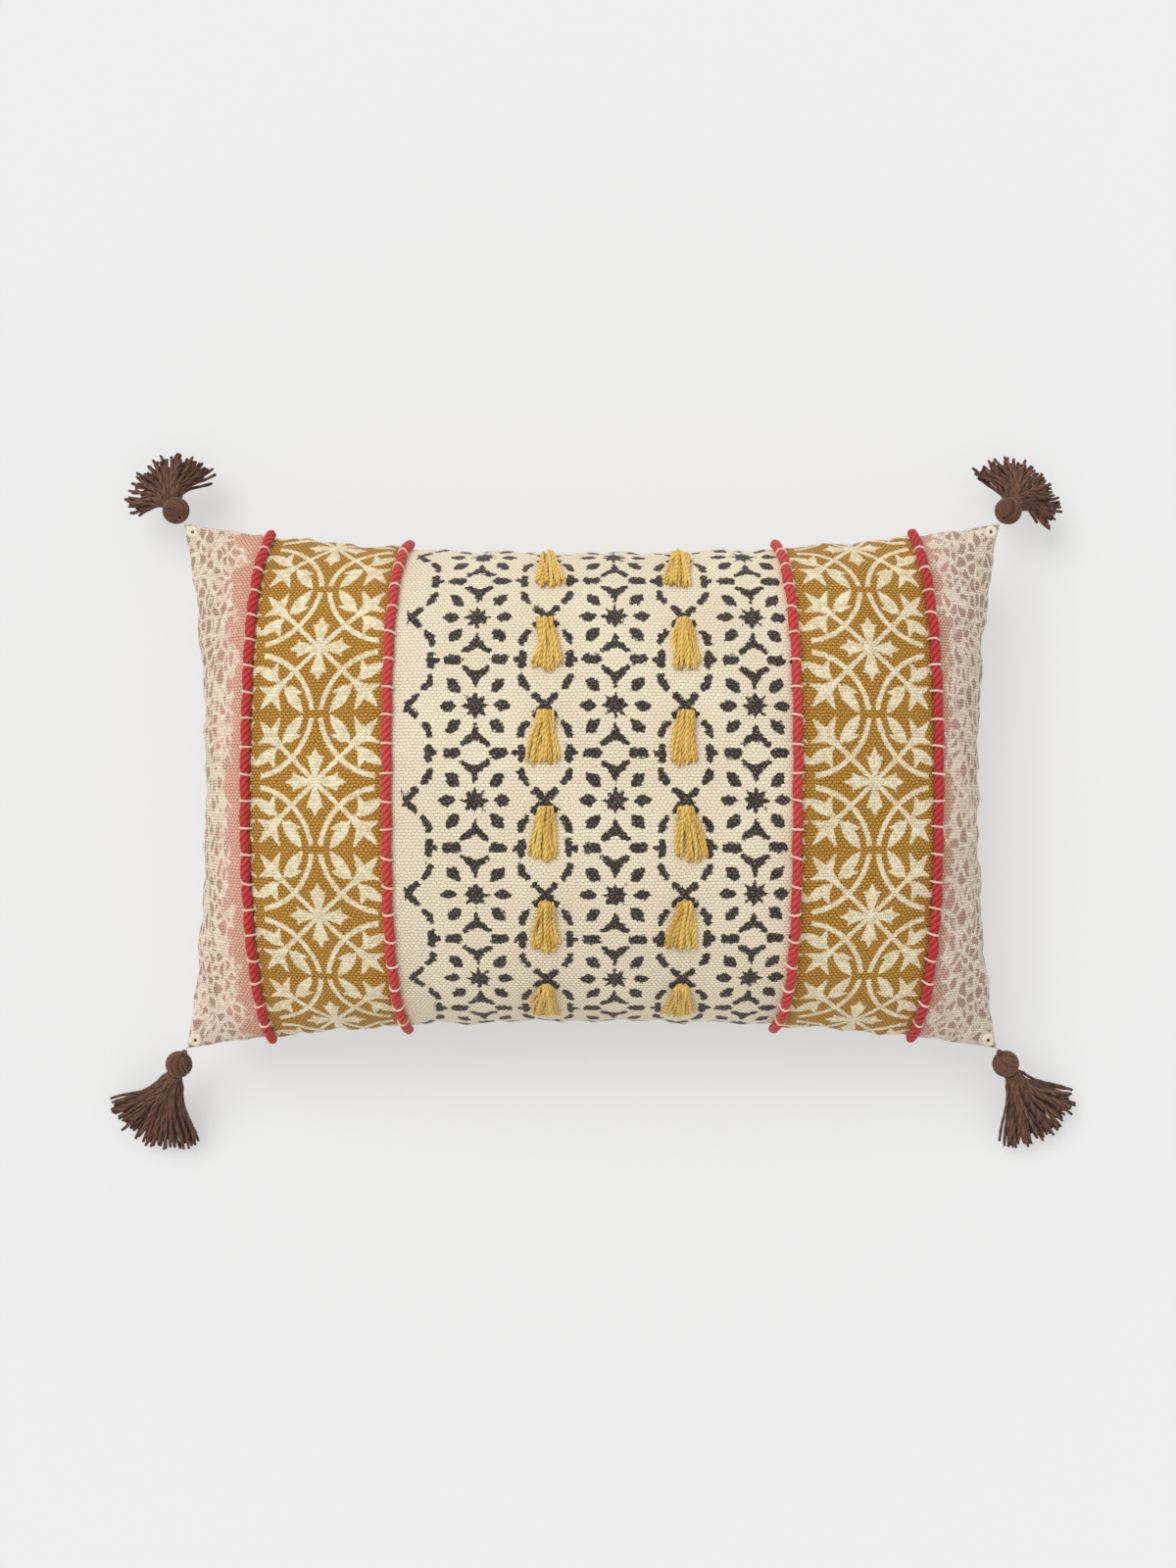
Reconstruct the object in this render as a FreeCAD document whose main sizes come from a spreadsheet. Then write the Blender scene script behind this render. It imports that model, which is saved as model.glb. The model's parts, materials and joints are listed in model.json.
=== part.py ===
"""A stuffed throw pillow lying on its back: pieced cover, zip, insert, couched cords and tassels.

Millimetres, +Z up. The origin is on the floor, under the middle of the whole object's box. +X runs along
the long side and +Y across it. The cover is cut flat, cover_width by cover_height, and s and t run from -1
to 1 across that flat cut. on_cover() says where a flat point lies once the pillow is filled.
"""
import FreeCAD, Part
import math
import os
import Sketcher
from FreeCAD import Placement, Rotation, Vector

document = FreeCAD.newDocument("ThrowPillow")

# ---------------------------------------------------------------- driving dimensions

DIMENSIONS = {
    # the flat cut, and the filled pillow
    "cover_width": 600, "cover_height": 400, "centre_width": 264, "gold_width": 100,
    "waist_half_x": 260, "waist_half_y": 157.5, "ear_x": 17.5, "ear_y": 22,
    "crown": 90, "belly": 75, "belly_dip": 2, "corner_drop": 17, "corner_tip": 7,
    "pillow_x": -1.8, "pillow_y": 5.1,
    # layers, as depths under the outer face
    "cover_cloth": 1.2, "casing_depth": 2.4, "casing_cloth": 0.6, "fill_depth": 3.6,
    "seam_gap": 0.8, "rest_thickness": 2.6,
    # couched cords and the stitches over them
    "cord_half": 3.0, "cord_rise": 5.0, "cord_lift": 0.4, "stitch_ring": 6.8,
    "stitch_thick": 0.5, "stitch_pitch": 18.5,
    # zip, let into the back beside the lower long seam
    "zip_from_edge": 50, "zip_length": 300, "zip_blend": 46, "zip_recess": 7.2, "zip_mouth": 6.2,
    "tape_wide": 7.4, "tape_thick": 0.5, "tape_depth": 2.9, "coil_radius": 0.9, "coil_apart": 2.0,
    "slider_long": 10, "slider_wide": 8.4, "plate_thick": 1.0, "plate_gap": 3.4, "post_wide": 1.2,
    "stop_long": 3.0, "bail_radius": 2.4, "bail_wire": 0.5, "pull_long": 20, "pull_wide": 5.0,
    "pull_thick": 1.0, "pull_eye": 3.2,
    # corner rosettes and corner tassels
    "rosette_ring": 3.1, "rosette_wire": 1.5, "loop_ring": 2.4, "loop_wire": 0.9, "head_radius": 8.5,
    "neck_outer": 5.6, "neck_inner": 4.6, "neck_long": 5.0, "skirt_top": 4.3, "skirt_long": 57,
    "skirt_wide": 22, "skirt_deep": 7.0, "joint_gap": 0.8,
    # small tassels on the centre panel
    "tuft_knot": 3.4, "tuft_neck": 2.4, "tuft_long": 33, "tuft_wide": 11, "tuft_deep": 2.2,
    "tuft_clear": 0.6,
    # the printed pattern's repeat, which the small tassels follow
    "star_pitch_u": 90, "star_pitch_v": 61, "star_first_v": -8.5, "tuft_first_u": -30, "tuft_drop": 4,
}

sheet = document.addObject("Spreadsheet::Sheet", "Dimensions")
for row, (alias, value) in enumerate(DIMENSIONS.items(), start=1):
    sheet.set(f"A{row}", alias)
    sheet.set(f"B{row}", str(value))
    sheet.setAlias(f"B{row}", alias)
document.recompute()

SIDES = {"left": -1, "right": 1}
ENDS = {"front": -1, "rear": 1}  # the near long side is at -Y
SEAM = 0.996  # how near a panel comes to the seam line, as a part of the half width
BACK, FRONT = -1, 1

nodes = []  # every sub-part that is written as parts/LABEL.step


def size(alias):
    """A driving dimension, as the sheet holds it."""
    return float(sheet.get(alias))


def bind(thing, **rules):
    """Binds properties of an object to expressions over the sheet's aliases."""
    for name, rule in rules.items():
        thing.setExpression(name, rule)
    return thing


def keep(thing, label, placement=None):
    """Names a finished sub-part and puts it in its place."""
    thing.Label = label
    if placement is not None:
        thing.Placement = placement
    nodes.append(thing)
    return thing


# ---------------------------------------------------------------- the filled shape


def stretch(along, across, flat_half, filled_half):
    """Part of the filled half width at which a flat point lies: the flat cut is longer than the filled
    pillow is wide, and the difference goes down the sides, so the map flattens out towards the seam."""
    spare = flat_half / filled_half - 1
    return along * (1 + spare * (1 - across**2) * (1 - abs(along) ** (1 / spare)))


def bulge(part):
    """Height profile across the pillow: 1 in the middle, upright at the seam."""
    return math.sqrt(max(0.0, 1 - abs(part) ** 2.3))


def bare_cover(s, t, side, depth):
    """The filled shape before the zip is let in. depth is measured in from the outer face."""
    part_x = stretch(s, t, size("cover_width") / 2, size("waist_half_x"))
    part_y = stretch(t, s, size("cover_height") / 2, size("waist_half_y"))
    half_x = size("waist_half_x") - depth + size("ear_x") * abs(part_y) ** 2.2
    half_y = size("waist_half_y") - depth + size("ear_y") * abs(part_x) ** 2.2
    drop = size("corner_drop") - size("corner_tip") * t  # the rear corners stand a little higher
    seam_z = size("belly") - drop * (part_x * part_y) ** 2
    height = size("crown") if side == FRONT else size("belly") + size("belly_dip")
    z = seam_z + side * (height - depth) * bulge(part_x) * bulge(part_y)
    return Vector(part_x * half_x, part_y * half_y, z)


def zip_frame():
    """The zip's middle, outward normal and direction across the tape, on the back of the cover."""
    t = -1 + 2 * size("zip_from_edge") / size("cover_height")
    middle = bare_cover(0, t, BACK, 0)
    ahead = bare_cover(0, t + 0.01, BACK, 0) - bare_cover(0, t - 0.01, BACK, 0)
    across = ahead.normalize()
    outward = across.cross(Vector(1, 0, 0)).normalize()
    return middle, outward if outward.z < 0 else -outward, across


ZIP_MIDDLE, ZIP_OUTWARD, ZIP_ACROSS = zip_frame()
ZIP_T = -1 + 2 * size("zip_from_edge") / size("cover_height")


def fade(value, start, stop):
    """1 up to start, 0 from stop on, and smooth between."""
    part = min(1.0, max(0.0, (value - start) / (stop - start)))
    return 1 - part * part * (3 - 2 * part)


def on_cover(s, t, side, depth=0.0):
    """Where the flat point s, t lies on the filled pillow. Near the zip the back is drawn straight, and
    what lies under the cover leaves room for the slider."""
    place = bare_cover(s, t, side, depth)
    off_zip = abs(t - ZIP_T) * size("cover_height") / 2
    if side == BACK and off_zip < size("zip_blend"):
        along = abs(s) * size("cover_width") / 2
        near = fade(along, size("zip_length") / 2 + 8, size("zip_length") / 2 + 80)
        near *= (1 - (off_zip / size("zip_blend")) ** 2) ** 2
        bend = ZIP_MIDDLE - bare_cover(s, ZIP_T, BACK, 0)
        place += Vector(0, bend.y, bend.z) * near
        if depth >= size("casing_depth"):
            place -= ZIP_OUTWARD * size("zip_recess") * near
    return place + Vector(size("pillow_x"), size("pillow_y"), 0)


def outward_at(s, t, side):
    """Unit normal of the cover, pointing out of the pillow."""
    step = 0.004
    along = on_cover(s + step, t, side) - on_cover(s - step, t, side)
    across = on_cover(s, t + step, side) - on_cover(s, t - step, side)
    normal = along.cross(across).normalize()
    return normal if normal.z * side > 0 else -normal


def spread(low, high, count):
    """count values from low to high, closer together at both ends."""
    middle, half = (low + high) / 2, (high - low) / 2
    return [middle - half * math.cos(math.pi * i / (count - 1)) for i in range(count)]


def slab(inner, outer):
    """Closed solid between two grids of points: a spline face through each, and ruled walls between."""
    faces, borders = [], []
    for grid in (inner, outer):
        surface = Part.BSplineSurface()
        surface.interpolate(grid)
        u_low, u_high, v_low, v_high = surface.bounds()
        faces.append(surface.toShape())
        borders.append([surface.uIso(u_low), surface.uIso(u_high), surface.vIso(v_low), surface.vIso(v_high)])
    for low, high in zip(*borders):
        faces.append(Part.makeRuledSurface(low.toShape(), high.toShape()))
    shell = Part.Shell(faces)
    shell.sewShape()
    solid = Part.Solid(shell)
    if solid.Volume < 0:
        solid.reverse()
    return solid


def layer(s_values, t_values, side, inner_depth, outer_depth):
    """Slab of cloth over a stretch of the flat cut. The depths are numbers or functions of s and t."""
    grids = []
    for depth in (inner_depth, outer_depth):
        reach = depth if callable(depth) else (lambda s, t, fixed=depth: fixed)
        grids.append([[on_cover(s, t, side, reach(s, t)) for t in t_values] for s in s_values])
    return slab(*grids)


def cloth(label, shape):
    """Adds a sub-part that follows the filled shape, which no sketch or primitive can."""
    feature = document.addObject("Part::Feature", label)
    feature.Shape = shape
    return keep(feature, label, Placement())


# ---------------------------------------------------------------- cover, casing and fill


def panel_edges():
    """Flat edges of the five front panels, from left to right, as parts of the half width."""
    half = size("cover_width") / 2
    centre, gold = size("centre_width") / 2 / half, size("gold_width") / half
    return [-SEAM, -centre - gold, -centre, centre, centre + gold, SEAM]


def floor_room(s, t):
    """Extra depth over the flat patch on the floor, which fades out around it."""
    return size("rest_thickness") * (bulge(s) * bulge(t)) ** 12


def front_panels():
    """Five strips of printed cloth, joined side by side under the cords."""
    names = ["left_pink", "left_gold", "centre", "right_gold", "right_pink"]
    edges = panel_edges()
    gap = size("seam_gap") / size("cover_width")
    for name, low, high in zip(names, edges, edges[1:]):
        strip = spread(low + gap, high - gap, 15 if name == "centre" else 11)
        shape = layer(strip, spread(-SEAM, SEAM, 25), FRONT, size("cover_cloth"), 0.0)
        cloth(f"{name}_front_panel", shape)


def back_panels():
    """Two plain back panels that leave the zip's mouth open. The floor presses a flat patch on the upper
    one: its outer face dips under the floor, its inner face stays above, and the floor cuts it."""
    mouth = size("zip_mouth") * 2 / size("cover_height")
    across = spread(-SEAM, SEAM, 33)

    def inner(s, t):
        return size("cover_cloth") + floor_room(s, t)

    lower = layer(across, spread(-SEAM, ZIP_T - mouth, 9), BACK, size("cover_cloth"), 0.0)
    cloth("lower_back_panel", lower)
    upper = layer(across, spread(ZIP_T + mouth, SEAM, 25), BACK, inner, 0.0)
    below = Part.makeBox(700, 500, 20, Vector(-350, -250, -20))
    cloth("upper_back_panel", upper.cut(below).Solids[0])


def insert():
    """The insert: a casing of two sheets, sewn round the edge, and one body of filling."""
    s_values, t_values = spread(-SEAM, SEAM, 33), spread(-SEAM, SEAM, 25)
    outer, inner = size("casing_depth"), size("casing_depth") + size("casing_cloth")
    cloth("insert_casing_front", layer(s_values, t_values, FRONT, inner, outer))

    def back_inner(s, t):
        return inner + floor_room(s, t)

    def back_outer(s, t):
        return outer + floor_room(s, t)

    def fill_back(s, t):
        return size("fill_depth") + floor_room(s, t)

    cloth("insert_casing_back", layer(s_values, t_values, BACK, back_inner, back_outer))
    below = [[on_cover(s, t, BACK, fill_back(s, t)) for t in t_values] for s in s_values]
    above = [[on_cover(s, t, FRONT, size("fill_depth")) for t in t_values] for s in s_values]
    cloth("insert_fill", slab(below, above))


# ---------------------------------------------------------------- couched cords


def arch(offset, half, rise):
    """Round rise over a strip, from nothing at its edges."""
    return rise * math.sqrt(max(0.0, 1 - (offset / half) ** 2))


def couched_cord(label, seam_s):
    """A cord laid along a panel seam, and the stitches that cross it and hold it down."""
    to_s = 2 / size("cover_width")
    half, lift = size("cord_half"), size("cord_lift")
    strip = [seam_s + offset * to_s for offset in spread(-half, half, 9)]

    def top(s, t):
        return -lift - arch((s - seam_s) / to_s, half * 1.02, size("cord_rise"))

    cloth(label, layer(strip, spread(-0.985, 0.985, 25), FRONT, -lift, top))

    pitch = size("stitch_pitch") * 2 / size("cover_height")
    count = int(1.9 / pitch)
    stitches = []
    for number in range(count):
        t = (number - (count - 1) / 2) * pitch
        along = (on_cover(seam_s, t + 0.01, FRONT) - on_cover(seam_s, t - 0.01, FRONT)).normalize()
        normal = outward_at(seam_s, t, FRONT)
        thick = size("stitch_thick")
        foot = on_cover(seam_s, t, FRONT) + normal * (lift + thick)
        ring = Part.makeTorus(size("stitch_ring"), thick, Vector(), Vector(0, 0, 1), 0, 360, 180)
        ring.Placement = Placement(foot, Rotation(normal.cross(along), normal, along, "ZXY"))
        stitches.append(ring)
    cloth(f"{label}_stitches", Part.makeCompound(stitches))


# ---------------------------------------------------------------- zip


def zip_placement(along, across, out):
    """Placement on the zip: local X runs along it, local Z points out of the pillow."""
    origin = ZIP_MIDDLE + Vector(size("pillow_x") + along, size("pillow_y"), 0)
    origin += ZIP_ACROSS * across + ZIP_OUTWARD * out
    x_axis = Vector(1, 0, 0)
    return Placement(origin, Rotation(x_axis, ZIP_OUTWARD.cross(x_axis), ZIP_OUTWARD, "ZXY"))


def zip_rows():
    """Two woven tapes, each with a coil along its edge. The rows stand apart by the slider's post."""
    tilt = 1 if ZIP_OUTWARD.cross(Vector(1, 0, 0)).dot(ZIP_ACROSS) > 0 else -1
    start = -size("zip_length") / 2
    for name, way in (("upper", tilt), ("lower", -tilt)):
        near = size("coil_apart") / 2 + 2 * size("coil_radius")
        tape = document.addObject("Part::Box", f"zip_{name}_tape")
        bind(tape, Length="Dimensions.zip_length + 2 * Dimensions.stop_long",
             Width="Dimensions.tape_wide", Height="Dimensions.tape_thick")
        edge = near + 0.1 if way > 0 else -near - 0.1 - size("tape_wide")
        under = size("tape_depth") + size("coil_radius") + size("tape_thick")
        place = zip_placement(start - size("stop_long"), 0, -under)
        keep(tape, f"zip_{name}_tape", place.multiply(Placement(Vector(0, edge, 0), Rotation())))
        coil = document.addObject("Part::Cylinder", f"zip_{name}_coil")
        bind(coil, Radius="Dimensions.coil_radius", Height="Dimensions.zip_length")
        middle = way * (size("coil_apart") / 2 + size("coil_radius"))
        turn = Rotation(Vector(0, 1, 0), 90)
        place = zip_placement(start, 0, -size("tape_depth"))
        keep(coil, f"zip_{name}_coil", place.multiply(Placement(Vector(0, middle, 0), turn)))
    for name, way in (("top", 1), ("bottom", -1)):
        stop = document.addObject("Part::Box", f"zip_{name}_stop")
        bind(stop, Length="Dimensions.stop_long", Width="Dimensions.coil_apart + 4 * Dimensions.coil_radius",
             Height="2 * Dimensions.coil_radius")
        wide = size("coil_apart") + 4 * size("coil_radius")
        along = way * (size("zip_length") / 2 + 0.2) - (size("stop_long") if way < 0 else 0)
        place = zip_placement(along, 0, -size("tape_depth"))
        lift = Vector(0, -wide / 2, -size("coil_radius"))
        keep(stop, f"zip_{name}_stop", place.multiply(Placement(lift, Rotation())))


def slider():
    """The slider: an outer and an inner plate on a post that runs between the rows, and a round bail."""
    long, wide = size("slider_long"), size("slider_wide")
    thick, room, post = size("plate_thick"), size("plate_gap"), size("post_wide")
    solids = []
    for name, low in (("inner_plate", -room / 2 - thick), ("outer_plate", room / 2)):
        plate = document.addObject("Part::Box", name)
        bind(plate, Length="Dimensions.slider_long", Width="Dimensions.slider_wide",
             Height="Dimensions.plate_thick")
        plate.Placement = Placement(Vector(-long / 2, -wide / 2, low), Rotation())
        solids.append(plate)
    web = document.addObject("Part::Box", "post")
    bind(web, Length="Dimensions.slider_long / 2", Width="Dimensions.post_wide",
         Height="Dimensions.plate_gap + Dimensions.plate_thick")
    web.Placement = Placement(Vector(0, -post / 2, -(room + thick) / 2), Rotation())
    bail = document.addObject("Part::Torus", "bail")
    bind(bail, Radius1="Dimensions.bail_radius", Radius2="Dimensions.bail_wire")
    bail.Angle3 = 180
    upright = Rotation(Vector(1, 0, 0), 90)
    bail.Placement = Placement(Vector(0, 0, room / 2 + thick - 0.1), upright)
    whole = document.addObject("Part::MultiFuse", "zip_slider")
    whole.Shapes = solids + [web, bail]
    keep(whole, "zip_slider", zip_placement(slider_start(), 0, -size("tape_depth")))


def slider_start():
    """Where the closed zip's slider stands: against the stop at the right-hand end."""
    return size("zip_length") / 2 - size("slider_long") / 2 - 0.4


def pull_pivot():
    """How far outside the coils' plane the pull turns in its bail."""
    return size("plate_gap") / 2 + size("plate_thick") + size("bail_radius") - size("bail_wire") - 0.9


def rectangle(sketch, low_x, low_y, wide, long, wide_rule, long_rule):
    """A rectangle whose two sizes follow the sheet."""
    corners = [(low_x, low_y), (low_x + wide, low_y), (low_x + wide, low_y + long), (low_x, low_y + long)]
    first = sketch.GeometryCount
    for number in range(4):
        start, end = corners[number], corners[(number + 1) % 4]
        sketch.addGeometry(Part.LineSegment(Vector(*start, 0), Vector(*end, 0)))
    for number in range(4):
        other = first + (number + 1) % 4
        sketch.addConstraint(Sketcher.Constraint("Coincident", first + number, 2, other, 1))
        sketch.addConstraint(Sketcher.Constraint("Vertical" if number % 2 else "Horizontal", first + number))
    sketch.addConstraint(Sketcher.Constraint("DistanceX", -1, 1, first, 1, low_x))
    sketch.addConstraint(Sketcher.Constraint("DistanceY", -1, 1, first, 1, low_y))
    sizes = ("DistanceX", first, wide, wide_rule), ("DistanceY", first + 1, long, long_rule)
    for kind, line, value, rule in sizes:
        index = sketch.addConstraint(Sketcher.Constraint(kind, line, 1, line, 2, value))
        sketch.setExpression(f"Constraints[{index}]", rule)


def plane_sketch(body, name, role, offset=0.0, rule=None):
    """A sketch on one of the body's origin planes, raised off it by offset."""
    sketch = body.newObject("Sketcher::SketchObject", name)
    plane = next(f for f in body.Origin.OriginFeatures if f.Role == role)
    sketch.AttachmentSupport = [(plane, "")]
    sketch.MapMode = "FlatFace"
    sketch.AttachmentOffset = Placement(Vector(0, 0, offset), Rotation())
    if rule is not None:
        sketch.setExpression("AttachmentOffset.Base.z", rule)
    return sketch


def zip_pull():
    """The pull tab, hanging from the bail. Local Z runs down the tab from the hinge."""
    body = document.addObject("PartDesign::Body", "zip_pull")
    outline = plane_sketch(body, "pull_outline", "XZ_Plane")
    wide, eye, top = size("pull_wide"), size("pull_eye"), 0.45
    long_rule, wide_rule = "Dimensions.pull_long", "Dimensions.pull_wide"
    rectangle(outline, -wide / 2, -top, wide, size("pull_long"), wide_rule, long_rule)
    pad = body.newObject("PartDesign::Pad", "pull_plate")
    pad.Profile = outline
    bind(pad, Length="Dimensions.pull_thick")
    pad.Midplane = True
    hole = plane_sketch(body, "pull_hole", "XZ_Plane")
    rectangle(hole, -eye / 2, top + 0.05, eye, eye, "Dimensions.pull_eye", "Dimensions.pull_eye")
    cut = body.newObject("PartDesign::Pocket", "pull_eye")
    cut.Profile = hole
    cut.Type = "ThroughAll"
    cut.Midplane = True
    document.recompute()
    place = zip_placement(slider_start(), 0, pull_pivot() - size("tape_depth"))
    keep(body, "zip_pull", place.multiply(Placement(Vector(0, 0, 0), Rotation(Vector(0, 0, 1), 90))))


# ---------------------------------------------------------------- tassels


def slot_profile(sketch, half, radius, half_rule, radius_rule):
    """Two half circles joined by straight sides, centred: the flattened section of a tassel."""
    for sign in (1, -1):
        circle = Part.Circle(Vector(sign * half, 0, 0), Vector(0, 0, 1), radius)
        start = -math.pi / 2 if sign > 0 else math.pi / 2
        sketch.addGeometry(Part.ArcOfCircle(circle, start, start + math.pi))
    sketch.addGeometry(Part.LineSegment(Vector(half, radius, 0), Vector(-half, radius, 0)))
    sketch.addGeometry(Part.LineSegment(Vector(-half, -radius, 0), Vector(half, -radius, 0)))
    for first, end, second, start in ((0, 2, 2, 1), (2, 2, 1, 1), (1, 2, 3, 1), (3, 2, 0, 1)):
        sketch.addConstraint(Sketcher.Constraint("Tangent", first, end, second, start))
    sketch.addConstraint(Sketcher.Constraint("PointOnObject", 0, 3, -1))
    sketch.addConstraint(Sketcher.Constraint("Symmetric", 0, 3, 1, 3, -1, 1))
    reach = sketch.addConstraint(Sketcher.Constraint("DistanceX", -1, 1, 0, 3, half))
    sketch.setExpression(f"Constraints[{reach}]", half_rule)
    width = sketch.addConstraint(Sketcher.Constraint("Radius", 0, radius))
    sketch.setExpression(f"Constraints[{width}]", radius_rule)


def fringe(body, top, wide, deep, long, start="0"):
    """Lofts a bunch of strands: round at the top, widening to a flat end. The arguments are rules."""
    middle = f"({start}) + 0.45 * ({long})"
    stations = [
        (start, "0.3", top),
        (middle, f"0.55 * ({wide}) - ({deep})", f"1.05 * ({deep})"),
        (f"({start}) + ({long})", f"({wide}) - ({deep})", deep),
    ]
    sketches = []
    for number, (height, half, radius) in enumerate(stations):
        sketch = plane_sketch(body, f"{body.Name}_section_{number}", "XY_Plane", 0, height)
        slot_profile(sketch, worked(half), worked(radius), half, radius)
        sketches.append(sketch)
    loft = body.newObject("PartDesign::AdditiveLoft", f"{body.Name}_loft")
    loft.Profile = sketches[0]
    loft.Sections = sketches[1:]
    return loft


def worked(rule):
    """The value of a rule over the sheet's aliases."""
    probe = document.getObject("probe") or document.addObject("App::FeaturePython", "probe")
    if "value" not in probe.PropertiesList:
        probe.addProperty("App::PropertyFloat", "value")
    probe.setExpression("value", rule)
    probe.recompute()
    return probe.value


def hang(origin, down, flat):
    """Placement whose local Z runs along down and whose local Y lies along flat."""
    across = flat.cross(down).normalize()
    return Placement(origin, Rotation(across, flat, down, "ZXY"))


# How each corner tassel lies: its heading seen from above, in degrees from +X, and how far it slopes down.
CORNER_LIES = {
    ("front", "left"): (-118, 30.5), ("front", "right"): (-58, 30.5),
    ("rear", "left"): (124, 42), ("rear", "right"): (54, 42),
}


def corner_tip(end, side):
    """The tip of a corner of the cover."""
    return on_cover(SIDES[side], ENDS[end], FRONT)


def corner_frame(end, side):
    """A corner tassel's hinge point, its direction and its hinge axis, which lifts it when positive."""
    heading, slope = (math.radians(angle) for angle in CORNER_LIES[end, side])
    level = Vector(math.cos(heading), math.sin(heading), 0)
    down = level * math.cos(slope) - Vector(0, 0, math.sin(slope))
    return corner_tip(end, side) + down * size("joint_gap"), down, level.cross(Vector(0, 0, 1))


def corner_trim(end, side):
    """The stitched eye on a corner, and the tassel that hangs from it by a loop."""
    label = f"{end}_{side}"
    rosette = document.addObject("Part::Torus", f"{label}_rosette")
    bind(rosette, Radius1="Dimensions.rosette_ring", Radius2="Dimensions.rosette_wire")
    s, t = SIDES[side] * 0.972, ENDS[end] * 0.96
    normal = outward_at(s, t, FRONT)
    seat = on_cover(s, t, FRONT) + normal * (size("rosette_wire") + 0.3)
    keep(rosette, f"{label}_rosette", Placement(seat, Rotation(Vector(0, 0, 1), normal)))

    start, down, axis = corner_frame(end, side)
    upward = down.cross(axis).normalize()
    loop = document.addObject("Part::Torus", f"{label}_tassel_loop")
    bind(loop, Radius1="Dimensions.loop_ring", Radius2="Dimensions.loop_wire")
    reach = size("loop_ring") + size("loop_wire")
    keep(loop, f"{label}_tassel_loop", Placement(start + down * reach, Rotation(Vector(0, 0, 1), axis)))
    reach = 2 * reach + size("head_radius") + 0.05
    head = document.addObject("Part::Sphere", f"{label}_tassel_head")
    bind(head, Radius="Dimensions.head_radius")
    keep(head, f"{label}_tassel_head", hang(start + down * reach, down, upward))
    reach += size("head_radius") + 0.05
    skirt = document.addObject("PartDesign::Body", f"{label}_tassel_skirt")
    fringe(skirt, "Dimensions.skirt_top", "Dimensions.skirt_wide", "Dimensions.skirt_deep",
           "Dimensions.skirt_long", "Dimensions.neck_long")
    neck_part = skirt.newObject("PartDesign::AdditiveCylinder", f"{label}_skirt_top")
    bind(neck_part, Radius="Dimensions.skirt_top", Height="Dimensions.neck_long + 0.5")
    keep(skirt, f"{label}_tassel_skirt", hang(start + down * reach, down, upward))
    rings = []
    for name, radius in (("outer", "neck_outer"), ("inner", "neck_inner")):
        ring = document.addObject("Part::Cylinder", f"{label}_neck_{name}")
        bind(ring, Radius=f"Dimensions.{radius}", Height="Dimensions.neck_long - 0.4")
        rings.append(ring)
    neck = document.addObject("Part::Cut", f"{label}_tassel_neck")
    neck.Base, neck.Tool = rings
    keep(neck, f"{label}_tassel_neck", hang(start + down * (reach + 0.1), down, upward))


def tuft_frame(column, row):
    """A small tassel's knot centre, its direction and its hinge axis. It hangs towards -Y and lies along
    the cloth: it is tilted just enough to clear the curve under it."""
    half_u, half_v = size("cover_width") / 2, size("cover_height") / 2
    s = (size("tuft_first_u") + column * size("star_pitch_u")) / half_u
    t = (size("star_first_v") - size("tuft_drop") + row * size("star_pitch_v")) / half_v
    knot = on_cover(s, t, FRONT) + outward_at(s, t, FRONT) * (size("tuft_knot") + size("tuft_clear"))
    lean = math.tan(math.radians(7 * math.sin(2.4 * row + 1.3 * column)))
    long = size("tuft_long") + size("tuft_knot")
    end_s, end_t = s + lean * long / half_u, t - long / half_v
    ahead = on_cover(end_s, end_t, FRONT) - on_cover(s, t, FRONT)
    ahead.normalize()
    normal = outward_at((s + end_s) / 2, (t + end_t) / 2, FRONT)
    normal = (normal - ahead * normal.dot(ahead)).normalize()
    tilt = -1.0
    for step in range(3, 11):
        part = step / 9
        under = on_cover(s + (end_s - s) * part, t + (end_t - t) * part, FRONT) - knot
        need = under.dot(normal) + size("tuft_deep") * 1.05 + size("tuft_clear")
        tilt = max(tilt, need / under.dot(ahead))
    down = (ahead + normal * tilt).normalize()
    return knot, down, down.cross(normal).normalize()


def tuft_grid():
    """Column and row of each small tassel: two columns of six."""
    return [(column, row) for column in (0, 1) for row in (3, 2, 1, 0, -1, -2)]


def tufts():
    """Twelve small tassels: a knot and a flat bunch of yarn, in one piece."""
    for number, (column, row) in enumerate(tuft_grid(), start=1):
        label = f"small_tassel_{number:02d}"
        knot, down, axis = tuft_frame(column, row)
        body = document.addObject("PartDesign::Body", label)
        fringe(body, "Dimensions.tuft_neck", "Dimensions.tuft_wide", "Dimensions.tuft_deep",
               "Dimensions.tuft_long - Dimensions.tuft_neck", "Dimensions.tuft_neck")
        ball = body.newObject("PartDesign::AdditiveSphere", f"{label}_knot")
        bind(ball, Radius="Dimensions.tuft_knot")
        keep(body, label, hang(knot, down, down.cross(axis)))


# ---------------------------------------------------------------- build and write


def build():
    """Makes every sub-part in order, from the cover inwards and then the trim."""
    front_panels()
    back_panels()
    insert()
    half = size("cover_width") / 2
    seams = {"inner": size("centre_width") / 2, "outer": size("centre_width") / 2 + size("gold_width")}
    for side, way in SIDES.items():
        for name, seam_u in seams.items():
            couched_cord(f"{side}_{name}_cord", way * seam_u / half)
    zip_rows()
    slider()
    zip_pull()
    for end in ENDS:
        for side in SIDES:
            corner_trim(end, side)
    tufts()
    document.removeObject("probe")
    document.recompute()


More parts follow.
